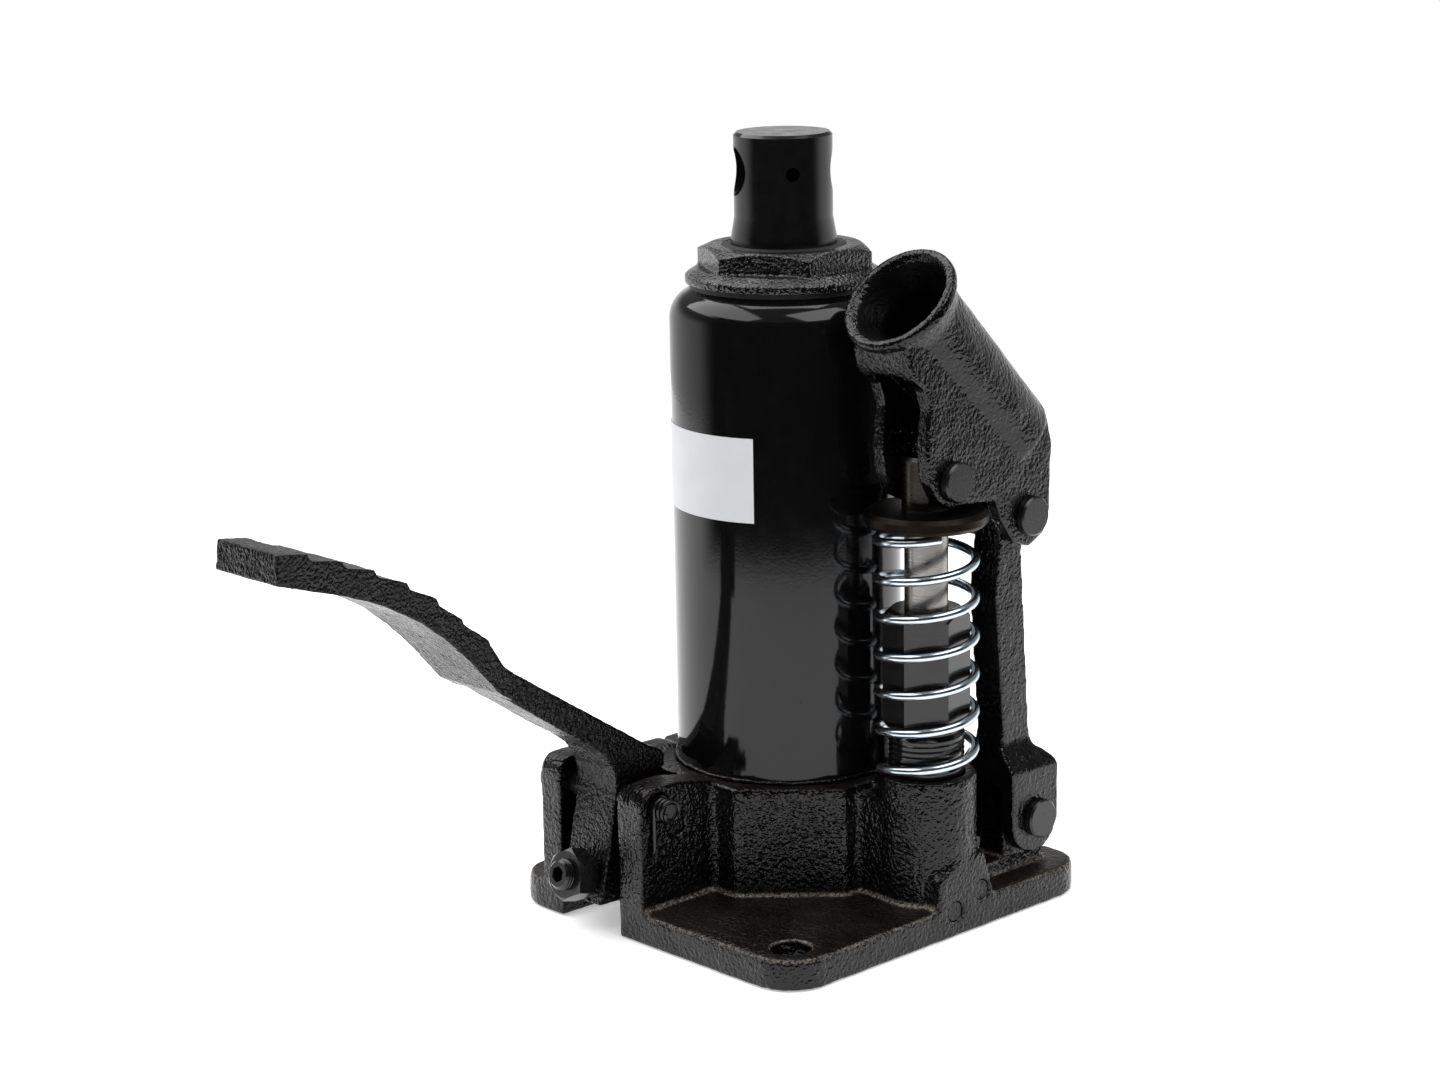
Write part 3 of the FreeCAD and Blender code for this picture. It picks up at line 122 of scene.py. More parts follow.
def castEnamel(name, look):
    # black enamel sprayed over a sand casting: the sand's grain stands through the gloss as
    # small round bumps that break every highlight into specks, with dull brown dust on top
    material, tree, shader, coords = newMaterial(name)
    grain = addNode(tree, "ShaderNodeTexNoise",
                    {"Scale": perMm(look["grain"]), "Detail": 1.2, "Roughness": 0.5},
                    {"Vector": coords})
    swell = addNode(tree, "ShaderNodeTexNoise",
                    {"Scale": perMm(look["swell"]), "Detail": 2.0, "Roughness": 0.5},
                    {"Vector": coords})
    pits = addNode(tree, "ShaderNodeTexVoronoi", {"Scale": perMm(look["pits"])},
                   {"Vector": coords})
    pitDepth = addNode(tree, "ShaderNodeMapRange",
                       {"From Min": 0.0, "From Max": 0.16, "To Min": -1.0, "To Max": 0.0},
                       {"Value": pits.outputs["Distance"]})
    rough = addNode(tree, "ShaderNodeMapRange",
                    {"From Min": 0.35, "From Max": 0.7, "To Min": look["roughLow"],
                     "To Max": look["roughHigh"]}, {"Value": swell.outputs["Fac"]})
    upward = addNode(tree, "ShaderNodeSeparateXYZ", {},
                     {"Vector": addNode(tree, "ShaderNodeNewGeometry").outputs["Normal"]})
    patches = addNode(tree, "ShaderNodeTexNoise",
                      {"Scale": perMm(look["dustPatch"]), "Detail": 3.0, "Roughness": 0.6},
                      {"Vector": coords})
    patchFac = addNode(tree, "ShaderNodeMapRange",
                       {"From Min": 0.4, "From Max": 0.62, "To Min": 0.25, "To Max": look["dust"]},
                       {"Value": patches.outputs["Fac"]})
    facingUp = addNode(tree, "ShaderNodeMapRange", {"From Min": 0.75, "From Max": 0.98},
                       {"Value": upward.outputs["Z"]})
    settles = addNode(tree, "ShaderNodeMath", {"operation": "MULTIPLY"},
                      {0: facingUp.outputs["Result"], 1: patchFac.outputs["Result"]})
    specks = addNode(tree, "ShaderNodeTexNoise",
                     {"Scale": perMm(look["dustGrain"]), "Detail": 6.0, "Roughness": 0.75},
                     {"Vector": coords})
    speckRamp = addNode(tree, "ShaderNodeValToRGB", {}, {"Fac": specks.outputs["Fac"]})
    speckFac = setRamp(speckRamp, [(0.42, (0, 0, 0, 1)), (0.62, (1, 1, 1, 1))])
    dustFac = addNode(tree, "ShaderNodeMath", {"operation": "MULTIPLY"},
                      {0: settles.outputs[0], 1: speckFac})
    paint = addNode(tree, "ShaderNodeMix",
                    {"data_type": "RGBA", 6: hexColour(look["paint"]),
                     7: hexColour(look["dustColour"])}, {0: dustFac.outputs[0]})
    # pale dust and a painted highlight in the fillet where a wall rises from the plate: the pale
    # colour stands in for dust and for the lamps' reflection along the fillet
    height = addNode(tree, "ShaderNodeSeparateXYZ", {}, {"Vector": coords})
    nearPlate = addNode(tree, "ShaderNodeMapRange",
                        {"From Min": (look["cornerHigh"] - 1.0) * mm,
                         "From Max": look["cornerHigh"] * mm, "To Min": 1.0, "To Max": 0.0},
                        {"Value": height.outputs["Z"]})
    leaning = addNode(tree, "ShaderNodeMapRange",
                      {"From Min": 0.2, "From Max": 0.45, "To Min": 0.0, "To Max": 0.8},
                      {"Value": upward.outputs["Z"]})
    notFlat = addNode(tree, "ShaderNodeMapRange",
                      {"From Min": 0.8, "From Max": 0.94, "To Min": 1.0, "To Max": 0.0},
                      {"Value": upward.outputs["Z"]})
    inFillet = addNode(tree, "ShaderNodeMath", {"operation": "MULTIPLY"},
                       {0: leaning.outputs["Result"], 1: notFlat.outputs["Result"]})
    cornerBand = addNode(tree, "ShaderNodeMath", {"operation": "MULTIPLY"},
                         {0: inFillet.outputs[0], 1: nearPlate.outputs["Result"]})
    cornerFac = addNode(tree, "ShaderNodeMath", {"operation": "MULTIPLY"},
                        {0: cornerBand.outputs[0], 1: speckFac})
    dustAndCornerHighlight = addNode(tree, "ShaderNodeMix",
                     {"data_type": "RGBA", 7: hexColour(look["cornerDustAndHighlight"])},
                     {0: cornerFac.outputs[0], 6: paint.outputs[2]})
    duller = addNode(tree, "ShaderNodeMath", {"operation": "MULTIPLY_ADD", 1: 0.4},
                     {0: settles.outputs[0], 2: rough.outputs["Result"]})
    low = addNode(tree, "ShaderNodeBump", {"Strength": 1.0, "Distance": look["swellHigh"] * mm},
                  {"Height": swell.outputs["Fac"]})
    mid = addNode(tree, "ShaderNodeBump", {"Strength": 1.0, "Distance": look["grainHigh"] * mm},
                  {"Height": grain.outputs["Fac"], "Normal": low.outputs["Normal"]})
    fine = addNode(tree, "ShaderNodeBump", {"Strength": 1.0, "Distance": look["pitDeep"] * mm},
                   {"Height": pitDepth.outputs["Result"], "Normal": mid.outputs["Normal"]})
    shader.inputs["Specular IOR Level"].default_value = look["shine"]
    tree.links.new(dustAndCornerHighlight.outputs[2], shader.inputs["Base Color"])
    tree.links.new(duller.outputs[0], shader.inputs["Roughness"])
    tree.links.new(fine.outputs["Normal"], shader.inputs["Normal"])
    return material


castLook = {"grain": 1.15, "swell": 7.0, "pits": 3.0, "grainHigh": 0.55, "swellHigh": 0.25,
            "pitDeep": 0.05, "roughLow": 0.12, "roughHigh": 0.22, "dust": 0.75, "dustGrain": 0.8,
            "dustPatch": 26.0, "paint": "#040404", "dustColour": "#2b1f17", "shine": 0.34,
            "cornerHigh": 0.0, "cornerDustAndHighlight": "#7a736a"}
baseCast = castEnamel("castEnamel", {**castLook, "cornerHigh": 14.5})
socketCast = castEnamel("socketEnamel", {**castLook, "grain": 1.1, "grainHigh": 0.36, "dust": 0.1,
                                         "paint": "#060606", "shine": 0.34})
# painted shade for the socket's bore: blacker enamel, rough and with hardly any shine
boreShadeCast = castEnamel("boreEnamel", {**castLook, "paint": "#030303", "dust": 0.0, "shine": 0.06,
                                     "roughLow": 0.4, "roughHigh": 0.55, "grainHigh": 0.2})
pedalCast = castEnamel("pedalEnamel", {**castLook, "grain": 0.95, "roughLow": 0.2, "roughHigh": 0.32,
                                       "grainHigh": 0.6, "dust": 0.2, "paint": "#060606",
                                       "shine": 0.3})
collarCast = castEnamel("collarEnamel", {**castLook, "grain": 0.9, "grainHigh": 0.5, "dust": 0.1,
                                         "swellHigh": 0.15, "paint": "#070707", "shine": 0.6})


def glossEnamel():
    # stoved black enamel on drawn steel tube: a deep mirror with faint orange peel and a few
    # dust nibs caught in the paint
    look = {"peel": 5.0, "peelHigh": 0.012, "mist": 0.8, "mistHigh": 0.006, "nib": 9.0,
            "nibHigh": 0.05, "dark": "#060607", "light": "#0d0c0c", "roughLow": 0.06,
            "roughHigh": 0.12, "shine": 0.36}
    material, tree, shader, coords = newMaterial("glossEnamel")
    peel = addNode(tree, "ShaderNodeTexNoise", {"Scale": perMm(look["peel"]), "Detail": 2.0},
                   {"Vector": coords})
    nibs = addNode(tree, "ShaderNodeTexVoronoi", {"Scale": perMm(look["nib"])},
                   {"Vector": coords})
    nibHigh = addNode(tree, "ShaderNodeMapRange",
                      {"From Min": 0.0, "From Max": 0.035, "To Min": 1.0, "To Max": 0.0},
                      {"Value": nibs.outputs["Distance"]})
    wave = addNode(tree, "ShaderNodeBump", {"Strength": 1.0, "Distance": look["peelHigh"] * mm},
                   {"Height": peel.outputs["Fac"]})
    mist = addNode(tree, "ShaderNodeTexNoise", {"Scale": perMm(look["mist"]), "Detail": 1.0},
                   {"Vector": coords})
    grain = addNode(tree, "ShaderNodeBump", {"Strength": 1.0, "Distance": look["mistHigh"] * mm},
                    {"Height": mist.outputs["Fac"], "Normal": wave.outputs["Normal"]})
    spot = addNode(tree, "ShaderNodeBump", {"Strength": 1.0, "Distance": look["nibHigh"] * mm},
                   {"Height": nibHigh.outputs["Result"], "Normal": grain.outputs["Normal"]})
    tint = addNode(tree, "ShaderNodeMix",
                   {"data_type": "RGBA", 6: hexColour(look["dark"]), 7: hexColour(look["light"])},
                   {0: peel.outputs["Fac"]})
    rough = addNode(tree, "ShaderNodeMapRange",
                    {"To Min": look["roughLow"], "To Max": look["roughHigh"]},
                    {"Value": peel.outputs["Fac"]})
    shader.inputs["Specular IOR Level"].default_value = look["shine"]
    tree.links.new(tint.outputs[2], shader.inputs["Base Color"])
    tree.links.new(rough.outputs["Result"], shader.inputs["Roughness"])
    tree.links.new(spot.outputs["Normal"], shader.inputs["Normal"])
    return material


def blackOxide(name, look):
    # steel blackened in a hot oxide bath: satin, with the lathe's faint rings and rubbed spots
    material, tree, shader, coords = newMaterial(name)
    blotch = addNode(tree, "ShaderNodeTexNoise",
                     {"Scale": perMm(look["blotch"]), "Detail": 5.0, "Roughness": 0.65},
                     {"Vector": coords})
    stretch = addNode(tree, "ShaderNodeMapping", {"Scale": look["stretch"]}, {"Vector": coords})
    rings = addNode(tree, "ShaderNodeTexNoise",
                    {"Scale": perMm(look["ring"]), "Detail": 3.0, "Roughness": 0.6},
                    {"Vector": stretch.outputs["Vector"]})
    tint = addNode(tree, "ShaderNodeMix",
                   {"data_type": "RGBA", 6: hexColour(look["dark"]), 7: hexColour(look["light"])},
                   {0: blotch.outputs["Fac"]})
    rough = addNode(tree, "ShaderNodeMapRange",
                    {"From Min": 0.3, "From Max": 0.7, "To Min": look["roughLow"],
                     "To Max": look["roughHigh"]}, {"Value": blotch.outputs["Fac"]})
    bump = addNode(tree, "ShaderNodeBump", {"Strength": 1.0, "Distance": look["ringHigh"] * mm},
                   {"Height": rings.outputs["Fac"]})
    tree.links.new(tint.outputs[2], shader.inputs["Base Color"])
    tree.links.new(rough.outputs["Result"], shader.inputs["Roughness"])
    tree.links.new(bump.outputs["Normal"], shader.inputs["Normal"])
    return material


oxideLook = {"blotch": 4.0, "stretch": (0.1, 0.1, 1.0), "ring": 0.8, "ringHigh": 0.02,
             "dark": "#0b0b0b", "light": "#141414", "roughLow": 0.24, "roughHigh": 0.4}
ramOxide = blackOxide("ramOxide", {**oxideLook, "dark": "#070707", "light": "#0c0c0c",
                                   "roughLow": 0.16, "roughHigh": 0.26})
pinOxide = blackOxide("pinOxide", {**oxideLook, "stretch": (1.0, 0.2, 1.0), "dark": "#080808",
                                   "light": "#111112", "ringHigh": 0.03, "roughLow": 0.2,
                                   "roughHigh": 0.34})
nutOxide = blackOxide("nutOxide", {**oxideLook, "stretch": (1.0, 1.0, 1.0), "ring": 1.2,
                                   "dark": "#08080a", "light": "#101011", "roughLow": 0.16,
                                   "roughHigh": 0.28})
pumpOxide = blackOxide("pumpOxide", {**oxideLook, "dark": "#080808", "light": "#101010",
                                     "roughLow": 0.12, "roughHigh": 0.2})


def bareMetal(name, look):
    # bare or plated metal: full metallic, with fine marks that run round the piece
    material, tree, shader, coords = newMaterial(name)
    stretch = addNode(tree, "ShaderNodeMapping", {"Scale": look["stretch"]}, {"Vector": coords})
    marks = addNode(tree, "ShaderNodeTexNoise",
                    {"Scale": perMm(look["mark"]), "Detail": 4.0, "Roughness": 0.7},
                    {"Vector": stretch.outputs["Vector"]})
    cloud = addNode(tree, "ShaderNodeTexNoise", {"Scale": perMm(look["cloud"]), "Detail": 3.0},
                    {"Vector": coords})
    tint = addNode(tree, "ShaderNodeMix",
                   {"data_type": "RGBA", 6: hexColour(look["dark"]), 7: hexColour(look["light"])},
                   {0: cloud.outputs["Fac"]})
    if "darkerFrom" in look:  # darker colour above this height, in millimetres
        height = addNode(tree, "ShaderNodeSeparateXYZ", {}, {"Vector": coords})
        aboveFac = addNode(tree, "ShaderNodeMapRange",
                         {"From Min": (look["darkerFrom"] - 2) * mm,
                          "From Max": look["darkerFrom"] * mm}, {"Value": height.outputs["Z"]})
        tint = addNode(tree, "ShaderNodeMix", {"data_type": "RGBA", 7: hexColour(look["darkerColour"])},
                       {0: aboveFac.outputs["Result"], 6: tint.outputs[2]})
    rough = addNode(tree, "ShaderNodeMapRange",
                    {"From Min": 0.3, "From Max": 0.7, "To Min": look["roughLow"],
                     "To Max": look["roughHigh"]}, {"Value": marks.outputs["Fac"]})
    bump = addNode(tree, "ShaderNodeBump", {"Strength": 1.0, "Distance": look["markHigh"] * mm},
                   {"Height": marks.outputs["Fac"]})
    shader.inputs["Metallic"].default_value = 1.0
    tree.links.new(tint.outputs[2], shader.inputs["Base Color"])
    tree.links.new(rough.outputs["Result"], shader.inputs["Roughness"])
    tree.links.new(bump.outputs["Normal"], shader.inputs["Normal"])
    return material


groundLook = {"stretch": (0.06, 0.06, 1.0), "mark": 0.5, "cloud": 9.0, "markHigh": 0.02,
              "dark": "#8b8883", "light": "#a8a5a0", "roughLow": 0.22, "roughHigh": 0.38}
steelGround = bareMetal("groundSteel", groundLook)
# the plunger is coloured darker above 118 mm
steelPlunger = bareMetal("plungerSteel", {**groundLook, "darkerFrom": 118.0, "darkerColour": "#45433f"})
zincWire = bareMetal("zincWire", {"stretch": (1.0, 1.0, 1.0), "mark": 2.5, "cloud": 7.0,
                                  "markHigh": 0.01, "dark": "#b4c2cc", "light": "#d5dde4",
                                  "roughLow": 0.14, "roughHigh": 0.26})
steelHard = bareMetal("hardSteel", {"stretch": (1.0, 1.0, 1.0), "mark": 1.0, "cloud": 5.0,
                                    "markHigh": 0.004, "dark": "#a6a6a6", "light": "#bcbcbc",
                                    "roughLow": 0.08, "roughHigh": 0.16})
copperSoft = bareMetal("softCopper", {"stretch": (1.0, 1.0, 1.0), "mark": 1.5, "cloud": 4.0,
                                      "markHigh": 0.02, "dark": "#8f5336", "light": "#b87450",
                                      "roughLow": 0.3, "roughHigh": 0.5})
discSteel = bareMetal("discSteel", {"stretch": (1.0, 1.0, 0.3), "mark": 0.9, "cloud": 3.0,
                                    "markHigh": 0.05, "dark": "#120f0d", "light": "#2a241f",
                                    "roughLow": 0.32, "roughHigh": 0.5})


def sealRubber():
    # moulded nitrile rubber: black, dull, with a soft mottle
    look = {"mottle": 2.0, "mottleHigh": 0.02, "dark": "#0f0f0f", "light": "#1a1a19", "rough": 0.6}
    material, tree, shader, coords = newMaterial("sealRubber")
    mottle = addNode(tree, "ShaderNodeTexNoise", {"Scale": perMm(look["mottle"]), "Detail": 4.0},
                     {"Vector": coords})
    tint = addNode(tree, "ShaderNodeMix",
                   {"data_type": "RGBA", 6: hexColour(look["dark"]), 7: hexColour(look["light"])},
                   {0: mottle.outputs["Fac"]})
    bump = addNode(tree, "ShaderNodeBump", {"Strength": 1.0, "Distance": look["mottleHigh"] * mm},
                   {"Height": mottle.outputs["Fac"]})
    shader.inputs["Roughness"].default_value = look["rough"]
    tree.links.new(tint.outputs[2], shader.inputs["Base Color"])
    tree.links.new(bump.outputs["Normal"], shader.inputs["Normal"])
    return material


def labelFilm():
    # matt white vinyl film, a little grey, with the faint waves of a hand-laid sticker
    look = {"wave": 7.0, "waveHigh": 0.04, "dark": "#c6c8cb", "light": "#d0d1d4", "rough": 0.42}
    material, tree, shader, coords = newMaterial("labelFilm")
    wave = addNode(tree, "ShaderNodeTexNoise", {"Scale": perMm(look["wave"]), "Detail": 2.0},
                   {"Vector": coords})
    tint = addNode(tree, "ShaderNodeMix",
                   {"data_type": "RGBA", 6: hexColour(look["dark"]), 7: hexColour(look["light"])},
                   {0: wave.outputs["Fac"]})
    bump = addNode(tree, "ShaderNodeBump", {"Strength": 1.0, "Distance": look["waveHigh"] * mm},
                   {"Height": wave.outputs["Fac"]})
    shader.inputs["Roughness"].default_value = look["rough"]
    tree.links.new(tint.outputs[2], shader.inputs["Base Color"])
    tree.links.new(bump.outputs["Normal"], shader.inputs["Normal"])
    return material


tankGloss = glossEnamel()
rubber = sealRubber()
label = labelFilm()

finishes = {
    "base_casting": baseCast, "handle_socket": socketCast, "pump_link": socketCast,
    "release_pedal": pedalCast, "collar_nut": collarCast, "tank_tube": tankGloss,
    "blank_label": label, "pump_cylinder": pumpOxide, "pump_plunger": steelPlunger,
    "spring_disc": discSteel, "return_spring": zincWire, "torsion_spring": pinOxide,
    "ram_rod": ramOxide, "ram_piston": steelGround, "pressure_cylinder": steelGround,
    "valve_stem": steelGround, "intake_strainer": steelHard,
    "release_ball": steelHard, "relief_ball": steelHard, "inlet_ball": steelHard,
    "outlet_ball": steelHard, "outlet_spring": zincWire, "relief_spring": zincWire,
    "pump_gasket": copperSoft, "cylinder_gasket": copperSoft,
    "tank_gasket": rubber, "collar_gasket": rubber, "ram_wiper": rubber, "piston_cup": rubber,
    "plunger_seal": rubber, "filler_plug": rubber, "valve_gland": nutOxide,
    "adjusting_screw": nutOxide, "lock_nut": nutOxide, "stop_plug": baseCast,
    "way_plug_low": baseCast, "way_plug_high": baseCast, "relief_screw": nutOxide,
    "plunger_pin": pinOxide, "link_pin": pinOxide, "anchor_pin": pinOxide,
    "plunger_pin_clip": pinOxide, "link_pin_clip": pinOxide, "anchor_pin_clip": pinOxide,
    "pedal_pin": pinOxide,
}
for nodeName, node in nodes.items():
    for nodeSlot in node.material_slots:
        nodeSlot.material = finishes[nodeName]
print("finishes given to", len(nodes), "nodes")


def linked(name, mesh):
    piece = bpy.data.objects.new(name, mesh)
    bpy.context.scene.collection.objects.link(piece)
    return piece


def bodyOf(nodeName):
    return nodes[nodeName]["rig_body"]


def castSkin(nodeName, look):
    # the CAD piece as it leaves the mould: the same solid with its corners rounded over, small
    # fillets in its inner corners and a slightly wavy, gritty wall
    mesh = nodes[nodeName].data.copy()
    shape = bmesh.new()
    shape.from_mesh(mesh)
    bmesh.ops.remove_doubles(shape, verts=shape.verts, dist=0.002 * mm)
    shape.to_mesh(mesh)
    shape.free()
    draft = linked(nodeName + "_draft", mesh)
    remesh = draft.modifiers.new("mould", "REMESH")
    remesh.mode = "VOXEL"
    remesh.voxel_size = look["voxel"] * mm
    remesh.adaptivity = 0.0
    soften = draft.modifiers.new("soften", "SMOOTH")
    soften.factor = 0.5
    soften.iterations = look["soften"]
    ready = draft.evaluated_get(bpy.context.evaluated_depsgraph_get())
    skin = bpy.data.meshes.new_from_object(ready)
    bpy.data.objects.remove(draft)
    low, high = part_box(nodeName)
    shape = bmesh.new()
    shape.from_mesh(skin)
    shape.normal_update()
    for vert in shape.verts:  # the wall dips inward only, so it stays inside its solid
        dip = noise.noise(vert.co * perMm(look["wave"])) * 0.5 + 0.5
        grit = noise.noise(vert.co * perMm(look["grit"])) * 0.5 + 0.5
        vert.co -= vert.normal * (dip * look["waveDeep"] + grit * look["gritDeep"]) * mm
        vert.co = [min(max(value, least), most) for value, least, most in zip(vert.co, low, high)]
    shape.to_mesh(skin)
    shape.free()
    skin.materials.clear()
    skin.materials.append(finishes[nodeName])
    skin.shade_smooth()
    piece = linked(nodeName + "_skin", skin)
    if look["share"] < 1:
        lighter = piece.modifiers.new("lighter", "DECIMATE")
        lighter.ratio = look["share"]
        ready = piece.evaluated_get(bpy.context.evaluated_depsgraph_get())
        piece.data = bpy.data.meshes.new_from_object(ready)
        piece.modifiers.clear()
    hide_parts(nodeName)
    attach(piece, bodyOf(nodeName))
    print("cast", nodeName, len(piece.data.polygons), "faces")
    return piece


castPieces = {
    "base_casting": {"voxel": 0.72, "soften": 9, "wave": 7.0, "waveDeep": 0.3, "grit": 1.9,
                     "gritDeep": 0.16, "share": 0.75},
    "handle_socket": {"voxel": 0.5, "soften": 10, "wave": 6.0, "waveDeep": 0.3, "grit": 1.6,
                      "gritDeep": 0.1, "share": 1.0},
    "pump_link": {"voxel": 0.5, "soften": 10, "wave": 6.0, "waveDeep": 0.25, "grit": 1.6,
                  "gritDeep": 0.08, "share": 1.0},
    "release_pedal": {"voxel": 0.48, "soften": 4, "wave": 6.0, "waveDeep": 0.25, "grit": 1.3,
                      "gritDeep": 0.24, "share": 1.0},
    "collar_nut": {"voxel": 0.38, "soften": 3, "wave": 4.0, "waveDeep": 0.02, "grit": 1.3,
                   "gritDeep": 0.05, "share": 1.0},
}
castSkins = {nodeName: castSkin(nodeName, look) for nodeName, look in castPieces.items()}


def paintBoreShade(piece, look):
    # painted shade deep inside the socket: the bore's faces get a blacker, dull enamel with almost
    # no reflection
    mesh = piece.data
    mesh.materials.append(boreShadeCast)
    mouth = Vector(look["mouth"]) * mm
    tilt = math.radians(look["tilt"])
    way = Vector((math.sin(tilt), 0.0, -math.cos(tilt)))
    for face in mesh.polygons:
        offset = face.center - mouth
        deep = offset.dot(way)
        across = offset - way * deep
        if deep > look["lip"] * mm and across.length < look["within"] * mm \
                and face.normal.dot(across) < 0:
            face.material_index = 1


paintBoreShade(castSkins["handle_socket"], {"mouth": (-7.7, -49.5, 175.9), "tilt": 45, "lip": 1.6,
                                        "within": 13.0})


def tankSkin():
    # the drawn tank: a smooth tube whose top is rolled over in one soft round shoulder
    look = {"radius": 31.75, "wall": 2.5, "foot": 37.0, "top": 173.0, "round": 8.5, "neck": 25.0,
            "lip": 26.0, "arcSteps": 12, "around": 256}
    shape = bmesh.new()
    bend = look["radius"] - look["round"]
    outline = [(look["radius"] - look["wall"], look["foot"]), (look["radius"], look["foot"])]
    for step in range(look["arcSteps"] + 1):
        turn = math.radians(62) * step / look["arcSteps"]
        outline.append((bend + look["round"] * math.cos(turn),
                        look["top"] - look["round"] * (1 - math.sin(turn))))
    outline += [(look["lip"], look["top"]), (look["neck"], look["top"]),
                (look["neck"], look["top"] - 2 * look["wall"]),
                (look["radius"] - look["wall"], look["top"] - 1.3 * look["round"])]
    ring = [shape.verts.new((across * mm, 0, high * mm)) for across, high in outline]
    for first, second in zip(ring, ring[1:] + ring[:1]):
        shape.edges.new((first, second))
    bmesh.ops.spin(shape, geom=shape.verts[:] + shape.edges[:], cent=(0, 0, 0), axis=(0, 0, 1),
                   dvec=(0, 0, 0), angle=math.tau, steps=look["around"], use_merge=True)
    bmesh.ops.remove_doubles(shape, verts=shape.verts, dist=0.001 * mm)
    bmesh.ops.recalc_face_normals(shape, faces=shape.faces)
    mesh = bpy.data.meshes.new("tank_skin")
    shape.to_mesh(mesh)
    shape.free()
    mesh.materials.append(tankGloss)
    mesh.shade_smooth()
    mesh.set_sharp_from_angle(angle=math.radians(32))
    piece = linked("tank_skin", mesh)
    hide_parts("tank_tube")
    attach(piece, "base")


tankSkin()
print("tank spun")


def springCoil():
    # the return spring, joined into one wire so that it can close up under the plunger's disc
    shape = bmesh.new()
    shape.from_mesh(nodes["return_spring"].data)
    bmesh.ops.remove_doubles(shape, verts=shape.verts, dist=0.001 * mm)
    mesh = bpy.data.meshes.new("return_spring_coil")
    shape.to_mesh(mesh)
    shape.free()
    mesh.materials.append(zincWire)
    mesh.shade_smooth()
    piece = linked("return_spring_coil", mesh)
    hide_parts("return_spring")
    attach(piece, bodyOf("return_spring"))
    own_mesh(piece)


springCoil()
print("spring joined")


def threadRidge(name, body, finish, look):
    # a screw thread: one small triangle wound along its helix and closed at both ends
    steps = int(look["turns"] * 32)
    way = Vector(look["way"]).normalized()
    side = way.orthogonal().normalized()
    start = Vector(look["start"]) * mm
    shape = bmesh.new()
    corners = []
    for out, along in ((-0.3, -0.42), (-0.3, 0.42), (look["high"], 0.0)):
        spot = start + side * (look["radius"] + out) * mm + way * along * look["pitch"] * mm
        corners.append(shape.verts.new(spot))
    face = shape.faces.new(corners)
    bmesh.ops.spin(shape, geom=[face], cent=start, axis=way,
                   dvec=way * look["pitch"] * mm * look["turns"] / steps,
                   angle=math.tau * look["turns"], steps=steps, use_merge=False)
    bmesh.ops.remove_doubles(shape, verts=shape.verts, dist=0.001 * mm)
    if not face.is_valid:
        shape.faces.new([vert for vert in corners if vert.is_valid])
    bmesh.ops.recalc_face_normals(shape, faces=shape.faces)
    mesh = bpy.data.meshes.new(name)
    shape.to_mesh(mesh)
    shape.free()
    mesh.materials.append(finish)
    piece = linked(name, mesh)
    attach(piece, body)
    return piece


screwTilt = math.radians(15)
screwWay = (-math.cos(screwTilt), 0.0, math.sin(screwTilt))
threadRidge("pump_thread", "base", pumpOxide,
            {"start": (3.4, -49.5, 45.0), "way": (0, 0, 1), "radius": 10.1, "pitch": 1.5,
             "turns": 7.0, "high": 0.35})
threadRidge("screw_thread", "pedal", nutOxide,
            {"start": (-54.6 - 18.5 * math.cos(screwTilt), 15.05,
                       12.6 + 18.5 * math.sin(screwTilt)),
             "way": screwWay, "radius": 4.0, "pitch": 0.9, "turns": 2.2, "high": 0.25})
print("threads wound")


def paintRing(name, look):
    # enamel that pooled where the tank enters its seat
    shape = bmesh.new()
    first = bmesh.ops.create_circle(shape, segments=10, radius=look["thick"] * mm)["verts"]
    spot = Matrix.Translation(Vector((look["radius"], 0, look["high"])) * mm)
    bmesh.ops.transform(shape, matrix=spot @ Matrix.Rotation(math.pi / 2, 4, "X"), verts=first)
    bmesh.ops.spin(shape, geom=shape.verts[:] + shape.edges[:], cent=(0, 0, 0), axis=(0, 0, 1),
                   dvec=(0, 0, 0), angle=math.tau, steps=look["around"], use_merge=True)
    for vert in shape.verts:
        vert.co.z += noise.noise(vert.co * perMm(look["lump"])) * look["sway"] * mm
    bmesh.ops.recalc_face_normals(shape, faces=shape.faces)
    mesh = bpy.data.meshes.new(name)
    shape.to_mesh(mesh)
    shape.free()
    mesh.shade_smooth()
    mesh.materials.append(baseCast)
    piece = linked(name, mesh)
    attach(piece, "base")
    return piece


paintRing("tank_foot_paint", {"radius": 32.0, "high": 40.1, "thick": 0.55, "sway": 0.35,
                              "lump": 3.5, "around": 160})
print("paint ring laid")

cameraSide = math.radians(226.6)  # the side of the jack that faces the camera


def surfaceSocket(tree):
    output = [node for node in tree.nodes if node.bl_idname == "ShaderNodeOutputMaterial"][0]
    return output.inputs["Surface"]


def backgroundRay(tree):  # 1 for the rays that show the background: straight, mirrored or through
    path = addNode(tree, "ShaderNodeLightPath")
    mirrored = addNode(tree, "ShaderNodeMath", {"operation": "MAXIMUM"},
                       {0: path.outputs["Is Camera Ray"], 1: path.outputs["Is Glossy Ray"]})
    return addNode(tree, "ShaderNodeMath", {"operation": "MAXIMUM"},
                   {0: mirrored.outputs[0], 1: path.outputs["Is Transmission Ray"]}).outputs[0]


